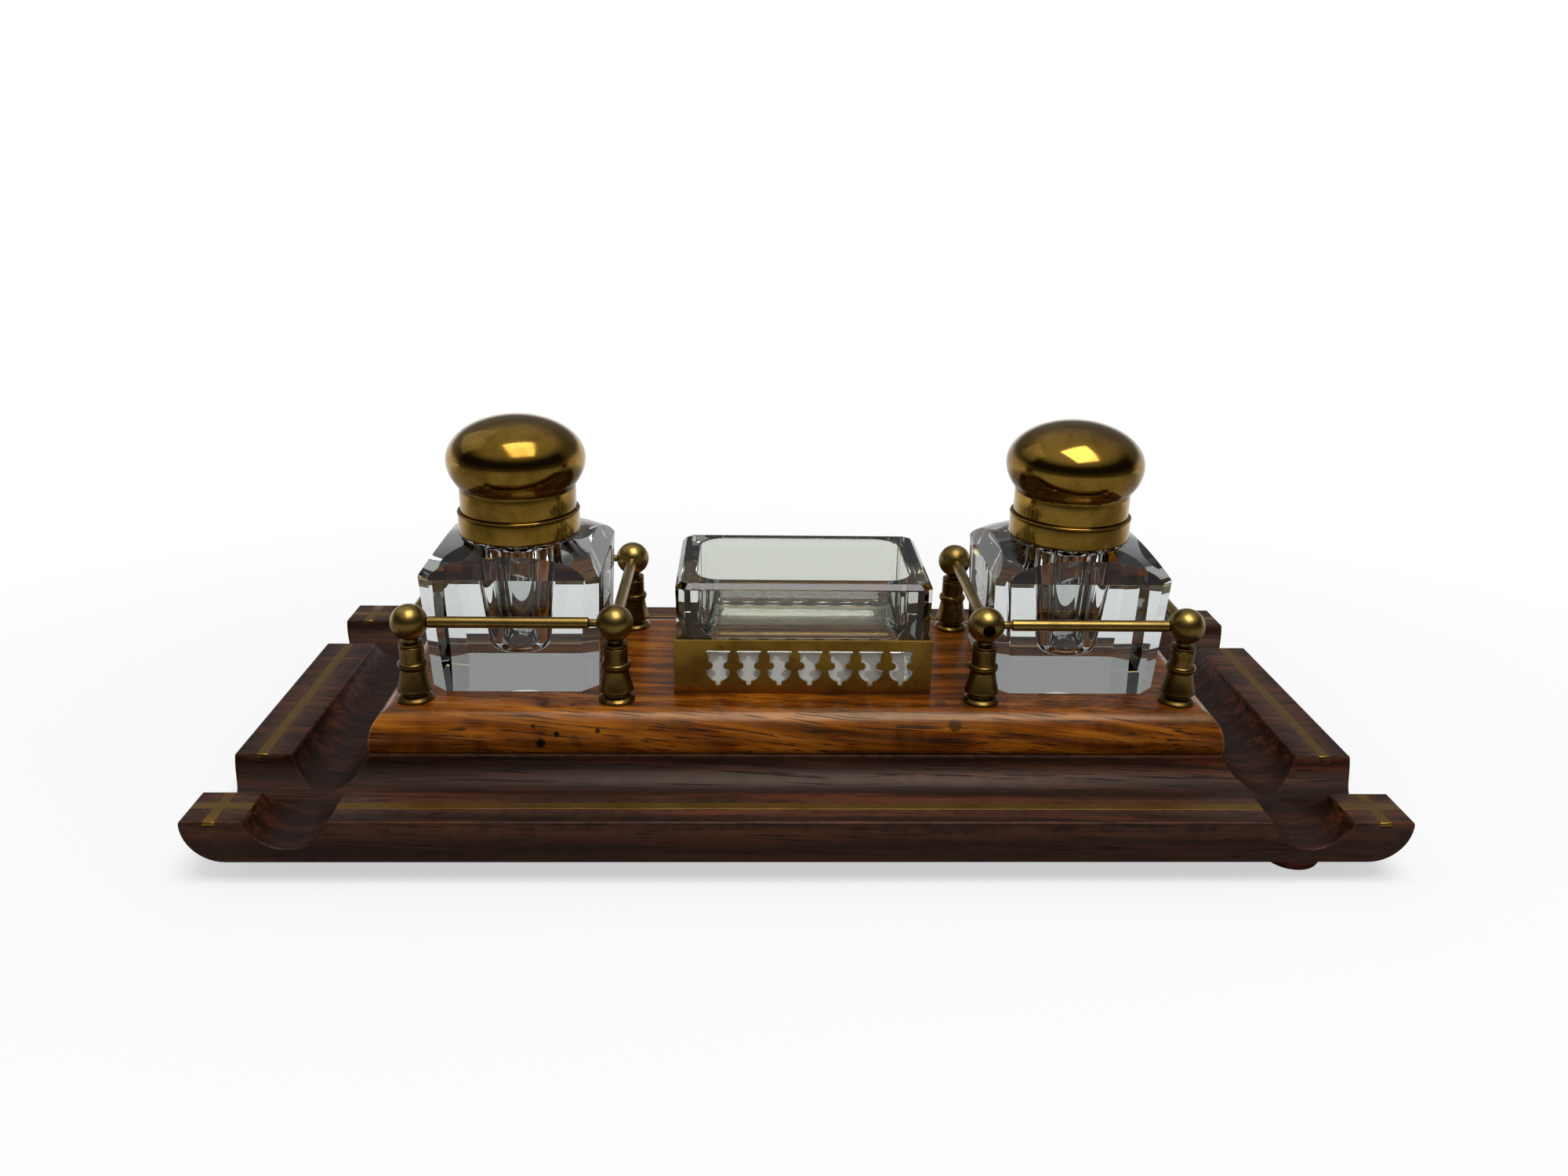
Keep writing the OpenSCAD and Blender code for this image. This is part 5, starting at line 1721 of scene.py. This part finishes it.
    def cap_shell(self) -> Shell:
        """The hollow spun cap, its skirt bead and the middle knuckle."""
        s, w, z0 = self.skirt / 2, self.wall, self.cap_z
        waist, radius, dome = z0 + self.skirt_height, self.cap / 2, self.dome_height
        start = math.degrees(math.acos(self.skirt / self.cap))
        under = self.low / math.sin(math.radians(start))
        outer = [(s - 0.05, z0), (s + 0.02, z0 + 0.12), (s, z0 + 0.5), (s - 0.02, z0 + 1.0),
                 (s - 0.02, z0 + 3.0), (s - 0.03, waist - 1.3), (s - 0.14, waist - 0.95),
                 (s - 0.02, waist - 0.6)]
        outer += arc(radius, 0, self.mid, -start * 0.985, 0, 12, under)
        outer += arc(radius, 0, self.mid, 0, 90, 31, dome)[1:-1] + [(0.0, self.mid + dome)]
        inner = [(0.0, self.mid + dome - w), *arc(radius - w, 0, self.mid, 88, 0, 16, dome - w),
                 (s - w, waist), (s - w, z0 + 0.1), (s - w + 0.1, z0)]
        shell = Shell()
        shell.skin(circles(outer + inner, SPUN_STEPS), True)
        half = self.knuckle_width / 2
        shell.join(self.barrel(-half, half, self.knuckle / 2))
        shell.join(self.leaf(-half, half, s - w / 2, self.hinge_z + 0.3,
                             self.hinge_z + self.knuckle / 2))
        return shell

    def build(self) -> None:
        """Builds and dresses the well, its collar, cap, plate and pin."""
        f, word = self.shop.finishes, self.side.word
        dress(self.bottle(), f.clear_glass, f"{word}_well", "clear_glass", f"{word}_inkwell")
        collar = self.collar_shell().placed(self.place).build(f"{word}_brass_collar", 42)
        dress(collar, f.spun_brass, f"{word}_well", "spun_brass", f"{word}_collar")
        reach = self.knuckle_width / 2 + self.ear_gap + self.ear_width + 0.3
        pin = self.barrel(-reach, reach, 0.8).placed(self.place)
        pin = pin.build(f"{word}_brass_hinge_pin", 40)
        dress(pin, f.turned_brass, f"{word}_well", "turned_brass", f"{word}_hinge_pin")
        cap = self.cap_shell().placed(self.place).build(f"{word}_domed_cap", 42)
        dress(cap, f.spun_brass, f"{word}_lid", "spun_brass", f"{word}_cap")
        edge = self.skirt / 2 - self.wall - 0.05
        z = self.cap_z + 1.6
        plate = [(0, z + 0.4), (edge - 2.4, z + 0.4), (edge - 2.0, z + 0.05), (edge - 1.9, z),
                 (edge - 0.1, z), (edge, z + 0.1), (edge, z + 1.1), (edge - 0.1, z + 1.2),
                 (0, z + 1.2)]
        liner = turned(plate, 72).placed(self.place).build(f"{word}_cap_liner", 42)
        dress(liner, f.spun_brass, f"{word}_lid", "spun_brass", f"{word}_cap_plate")


@dataclass
class GlassTray:
    """The glass tray: a thick block with a bevelled rim and a round-cornered hollow."""

    shop: Workshop
    levels: Levels
    x: float = 1.2
    width: float = 85.8
    depth: float = 55.8
    flare: float = 0.9
    height: float = 39.0
    cant: float = 3.2
    bevel: float = 2.0
    end_wall: float = 6.4
    side_wall: float = 5.0
    hollow: float = 22.5
    corner: float = 8.0
    sheet: float = 0.8

    def _outer(self, inset: float, z: float) -> list[Point]:
        """The outside's canted outline at a height, drawn in by an inset."""
        grown = self.flare * z / self.height - inset
        ring = block_ring(self.width / 2 + grown, self.depth / 2 + grown,
                          max(0.6, self.cant - inset * 0.4), Corner.CANTED, 12, 8)
        return [(x, y, z) for x, y in ring]

    def _inner(self, shrink: float, z: float) -> list[Point]:
        """The hollow's round-cornered outline at a height, drawn in by a shrink."""
        ring = block_ring(self.width / 2 - self.end_wall - shrink,
                          self.depth / 2 - self.side_wall - shrink,
                          max(0.5, self.corner - shrink), Corner.ROUND, 12, 8)
        return [(x, y, z) for x, y in ring]

    def build(self) -> None:
        """Builds and dresses the tray."""
        base, h, bevel = 0.06, self.height, self.bevel
        outer, inner = self._outer, self._inner
        rings: list[list[Point]] = [
            [(0.0, 0.0, base)], outer(8.0, base), outer(0.6, base), outer(0.2, base + 0.12),
            outer(0.0, base + 0.5), outer(0.0, base + 1.2), outer(0.0, h - bevel - 1.2),
            outer(0.0, h - bevel - 0.25), outer(0.1, h - bevel), outer(0.35, h - bevel + 0.3),
            outer(bevel - 0.35, h - 0.3), outer(bevel - 0.05, h - 0.05), outer(bevel + 0.35, h),
            inner(-0.9, h), inner(-0.4, h - 0.06), inner(-0.1, h - 0.35), inner(0.0, h - 0.9),
            inner(0.0, h - 2.0)]
        r, low = self.corner - 1.0, h - self.hollow
        rings += [inner(r - r * math.cos(math.radians(a)), low + r - r * math.sin(math.radians(a)))
                  for a in range(0, 91, 9)]
        rings += [inner(11.0, low), inner(15.0, low - 0.02), [(0.0, 0.0, low - 0.04)]]
        shell = Shell()
        shell.skin(rings)
        place = at(self.x, 0, self.levels.plinth_top + self.sheet)
        piece = shell.placed(place).build("pressed_glass_tray", 40)
        weighted(piece)
        dress(piece, self.shop.finishes.pale_glass, "tray", "pale_glass", "glass_tray")


@dataclass
class TrayFrame:
    """The brass frame round the tray, pierced along all four sides."""

    shop: Workshop
    levels: Levels
    x: float = 1.2
    inner_width: float = 87.0
    inner_depth: float = 57.0
    sheet: float = 0.8
    height: float = 19.8
    foot: float = 4.0
    pitch: float = 10.5
    shift: float = 2.3
    rise: float = 3.1
    pin_inset: float = 2.0

    @staticmethod
    def opening() -> list[Flat]:
        """One opening's outline: a tailed bowl, two beads at its waist and a horned top."""
        tail, bowl, middle = 0.8, 4.15, 5.45
        drop = math.sqrt(bowl ** 2 - tail ** 2)
        right: list[Flat] = [(tail, 0.0), (tail, middle - drop)]
        first, last = (math.degrees(math.asin(rise / bowl)) for rise in (-drop, 0.3))
        right += arc(bowl, 0, middle, first, last, 14)[1:]
        right += arc(1.3, 3.15, 7.25, -90, -270, 10)
        right += [(3.3, 8.55), (3.3, 9.35)]
        right += arc(1.7, 5.0, 10.425, 219.2, 122.0, 8)
        right += [(4.1, 12.9)]
        return right + [(-x, y) for x, y in reversed(right)]

    def strip(self, name: str, length: float, count: int, shift: float) -> bpy.types.Mesh:
        """A pierced strip, flat in the XY plane with its foot on the X axis."""
        outline = self.opening()
        mesh = bpy.data.meshes.new("opening")
        ring = [(i, (i + 1) % len(outline)) for i in range(len(outline))]
        mesh.from_pydata([(x * MM, y * MM, 0.0) for x, y in outline], ring, [])
        patterns = self.shop.patterns
        return patterns.run(patterns.pierced_sheet, mesh, name, length=length * MM,
                            height=self.height * MM, thickness=self.sheet * MM, openings=count,
                            pitch=self.pitch * MM, shift=shift * MM, rise=self.rise * MM,
                            finish=self.shop.finishes.sheet_brass)

    def build(self) -> None:
        """Builds and dresses the frame and its pins."""
        sheet = self.sheet
        wide, deep = self.inner_width + 2 * sheet, self.inner_depth + 2 * sheet
        top = self.levels.plinth_top
        upright = Matrix.Rotation(math.radians(90), 4, "X")
        work = bmesh.new()
        for name, length, count, shift, turn, out in (
                ("front_strip", wide, 7, self.shift, 0, deep / 2),
                ("back_strip", wide, 7, -self.shift, 180, deep / 2),
                ("left_end_strip", deep - 2 * sheet, 4, 0, 270, wide / 2),
                ("right_end_strip", deep - 2 * sheet, 4, 0, 90, wide / 2)):
            mesh = self.strip(name, length, count, shift)
            step = Matrix.Translation((0, -(out - sheet) * MM, 0))
            centre = Matrix.Translation((self.x * MM, 0, top * MM))
            mesh.transform(centre @ Matrix.Rotation(math.radians(turn), 4, "Z") @ step @ upright)
            work.from_mesh(mesh)
            bpy.data.meshes.remove(mesh)
        raw = self._inturned_foot().mesh("foot")
        work.from_mesh(raw)
        bpy.data.meshes.remove(raw)
        mesh = bpy.data.meshes.new("pierced_frame")
        work.to_mesh(mesh)
        work.free()
        piece = finish_mesh(mesh, "pierced_frame", 40)
        layer = piece.data.attributes["arris"].data
        layer.foreach_set("value", [0.0] * len(layer))
        soft = piece.modifiers.new("broken_edge", "BEVEL")
        soft.width = 0.1 * MM
        soft.segments = 2
        soft.limit_method = "ANGLE"
        soft.angle_limit = math.radians(50)
        weighted(piece)
        dress(piece, self.shop.finishes.sheet_brass, "stand", "sheet_brass", "tray_frame")
        self._pins()

    def _inturned_foot(self) -> Shell:
        """The narrow flange that the glass stands on, a flat ring."""
        top = self.levels.plinth_top
        hx, hy = self.inner_width / 2 + 0.02, self.inner_depth / 2 + 0.02
        shell = Shell()
        shell.skin([[(self.x + sx * (hx - inset), sy * (hy - inset), top + z)
                     for sx, sy in QUARTERS]
                    for inset, z in ((0.0, 0.0), (0.0, self.sheet), (self.foot, self.sheet),
                                     (self.foot, 0.0))], True)
        return shell

    def _pins(self) -> None:
        """Four small pins through the frame's foot."""
        profile = [(0, -7.9), (0.5, -7.2), (0.68, -6.8), (0.68, -0.2), (1.05, -0.2), (1.1, -0.1),
                   (1.0, 0.08), (0.6, 0.15), (0, 0.17)]
        pin = turned(profile, 24).build("pin_blank", 40)
        x, y = self.inner_width / 2 - self.pin_inset, self.inner_depth / 2 - self.pin_inset
        z = self.levels.plinth_top + 0.62
        places = [((self.x + sx * x, sy * y, z), 0.0) for sx in (-1, 1) for sy in (-1, 1)]
        brass = self.shop.finishes.turned_brass
        piece = self.shop.repeat(pin, places, "frame_pins", brass, 1.0, 3)
        dress(piece, brass, "stand", "turned_brass", "tray_pins")


@dataclass
class Studio:
    """The camera, floor, lamps and world.

    The greys are linear levels: the floor's own and what it adds for the camera, the plain room
    that lights dull surfaces, and what metal and glass see above, in front and high behind.
    """

    camera_place: Point = (-0.018734, -0.416610, 0.214539)
    yaw: float = 1.8986
    pitch: float = 19.9022
    roll: float = 1.0251
    focal_pixels: float = 1568.157
    sensor: float = 36.0
    frame_pixels: float = 2000.0
    floor_grey: float = 0.42
    floor_glow: float = 0.56
    room_grey: float = 0.36
    ceiling_grey: float = 0.52
    front_grey: float = 0.08
    behind_grey: float = 0.2
    behind_through_glass: float = 0.22

    def camera(self) -> None:
        """Places the camera where the photograph was taken."""
        y, p, r = (math.radians(a) for a in (self.yaw, self.pitch, self.roll))
        look = Vector((math.sin(y) * math.cos(p), math.cos(y) * math.cos(p), -math.sin(p)))
        across = Vector((math.cos(y), -math.sin(y), 0.0))
        up = across.cross(look)
        right = across * math.cos(r) + up * math.sin(r)
        top = up * math.cos(r) - across * math.sin(r)
        lens = bpy.data.cameras.new("camera")
        lens.sensor_width = self.sensor
        lens.sensor_fit = "HORIZONTAL"
        lens.lens = self.focal_pixels / self.frame_pixels * self.sensor
        lens.clip_start = 0.01
        eye = linked("camera", lens)
        turn = Matrix((right, top, -look)).transposed().to_4x4()
        eye.matrix_world = Matrix.Translation(self.camera_place) @ turn
        bpy.context.scene.camera = eye

    @staticmethod
    def seen(g: Graph) -> Socket:
        """1 for rays that show the background: to the camera, in metal and through glass."""
        rays = g.add("ShaderNodeLightPath").outputs
        mirrored = g.math("MAXIMUM", rays["Is Glossy Ray"], rays["Is Transmission Ray"])
        return g.math("MAXIMUM", rays["Is Camera Ray"], mirrored)

    def floor(self) -> None:
        """A plain pale floor that keeps the object's shadow and turns white away from it.

        Metal and polished wood see the white only behind the stand.
        """
        mesh = bpy.data.meshes.new("floor")
        mesh.from_pydata([(sx * 6, sy * 6, 0) for sx, sy in QUARTERS], [], [(0, 1, 2, 3)])
        plane = linked("floor", mesh)
        material, g = new_material("pale_floor")
        paint = g.add("ShaderNodeBsdfDiffuse")
        paint.inputs["Color"].default_value = (self.floor_grey,) * 3 + (1.0,)
        rays = g.add("ShaderNodeLightPath").outputs
        direct = g.math("MAXIMUM", rays["Is Camera Ray"], rays["Is Transmission Ray"])
        glow = g.add("ShaderNodeEmission")
        g.put(glow.inputs["Strength"], g.math("MULTIPLY", direct, self.floor_glow))
        near = g.join_shaders("ShaderNodeAddShader", paint.outputs[0], glow.outputs[0])
        white = g.add("ShaderNodeEmission")
        away = g.add("ShaderNodeVectorMath", operation="LENGTH")
        g.put(away.inputs[0], g.place((1.0, 1.4, 1.0)))
        backward = g.span(g.axis("Y", g.place()), 0.0, 0.3)
        behind = g.math("MULTIPLY", rays["Is Glossy Ray"], backward)
        share = g.math("MULTIPLY", g.math("MAXIMUM", direct, behind),
                       g.span(away.outputs["Value"], 0.2, 0.5))
        g.output(g.join_shaders("ShaderNodeMixShader", near, white.outputs[0], share))
        mesh.materials.append(material)

    def lamp(self, name: str, place: Point, aim: Point, size: tuple[float, float],
             power: float) -> None:
        """A soft rectangular lamp.

        Args:
            name: the lamp's name.
            place: where it hangs, in metres.
            aim: the point that it faces.
            size: its width and height.
            power: its power in watts.
        """
        light = bpy.data.lights.new(name, "AREA")
        light.shape = "RECTANGLE"
        light.size, light.size_y = size
        light.energy = power
        turn = (Vector(aim) - Vector(place)).to_track_quat("-Z", "Y")
        linked(name, light).matrix_world = Matrix.Translation(place) @ turn.to_matrix().to_4x4()

    def world(self) -> None:
        """A backdrop that is white to the camera all round.

        Metal and glass see it white near the horizon behind the stand, dimmer above that, and
        nearly dark in front.
        """
        world = bpy.data.worlds.new("studio")
        world.use_nodes = True
        bpy.context.scene.world = world
        g = Graph(world.node_tree)
        ray = g.add("ShaderNodeTexCoord").outputs["Generated"]
        up = g.axis("Z", ray)
        path = g.add("ShaderNodeLightPath")
        extra = g.math("MULTIPLY", path.outputs["Is Transmission Ray"], self.behind_through_glass)
        level = g.math("ADD", self.behind_grey, extra)
        fall = g.span(up, 0.03, 0.25, 1.0, 0.0)
        wall = g.math("ADD", level, g.math("MULTIPLY", fall, g.math("SUBTRACT", 1.0, level)))
        backward = g.span(g.axis("Y", ray), 0.0, 0.5, self.front_grey, 1.0)
        backdrop = g.grey(g.math("MULTIPLY", backward, wall))
        room = g.mix(g.span(up, 0.5, 0.85), backdrop, (self.ceiling_grey,) * 3 + (1.0,))
        plain = g.mix(self.seen(g), (self.room_grey,) * 3 + (1.0,), room)
        back = g.add("ShaderNodeBackground")
        g.put(back.inputs["Color"],
              g.mix(path.outputs["Is Camera Ray"], plain, (1.0, 1.0, 1.0, 1.0)))
        g.put(g.add("ShaderNodeOutputWorld").inputs["Surface"], back.outputs[0])

    def build(self) -> None:
        """Sets the scene up."""
        bpy.context.scene.view_settings.view_transform = "Standard"
        self.camera()
        self.floor()
        self.world()
        self.lamp("window", (0.16, -0.42, 1.55), (0, 0, 0.06), (0.9, 1.1), 18.0)
        self.lamp("fill", (-0.9, 0.45, 0.95), (0, 0, 0.05), (0.9, 0.7), 0.6)


def main() -> None:
    """Builds the whole stand and the studio round it."""
    logging.basicConfig(level=logging.INFO, format="%(name)s: %(message)s")
    levels = Levels()
    shop = Workshop(Finishes(), Patterns())
    Studio().build()
    BaseBoard(shop, levels).build()
    Feet(shop, levels).build()
    Plinth(shop, levels).build()
    for side in Side:
        Gallery(shop, levels, side).build()
        Inkwell(shop, levels, side).build()
    GlassTray(shop, levels).build()
    TrayFrame(shop, levels).build()


if __name__ == "__main__":
    main()
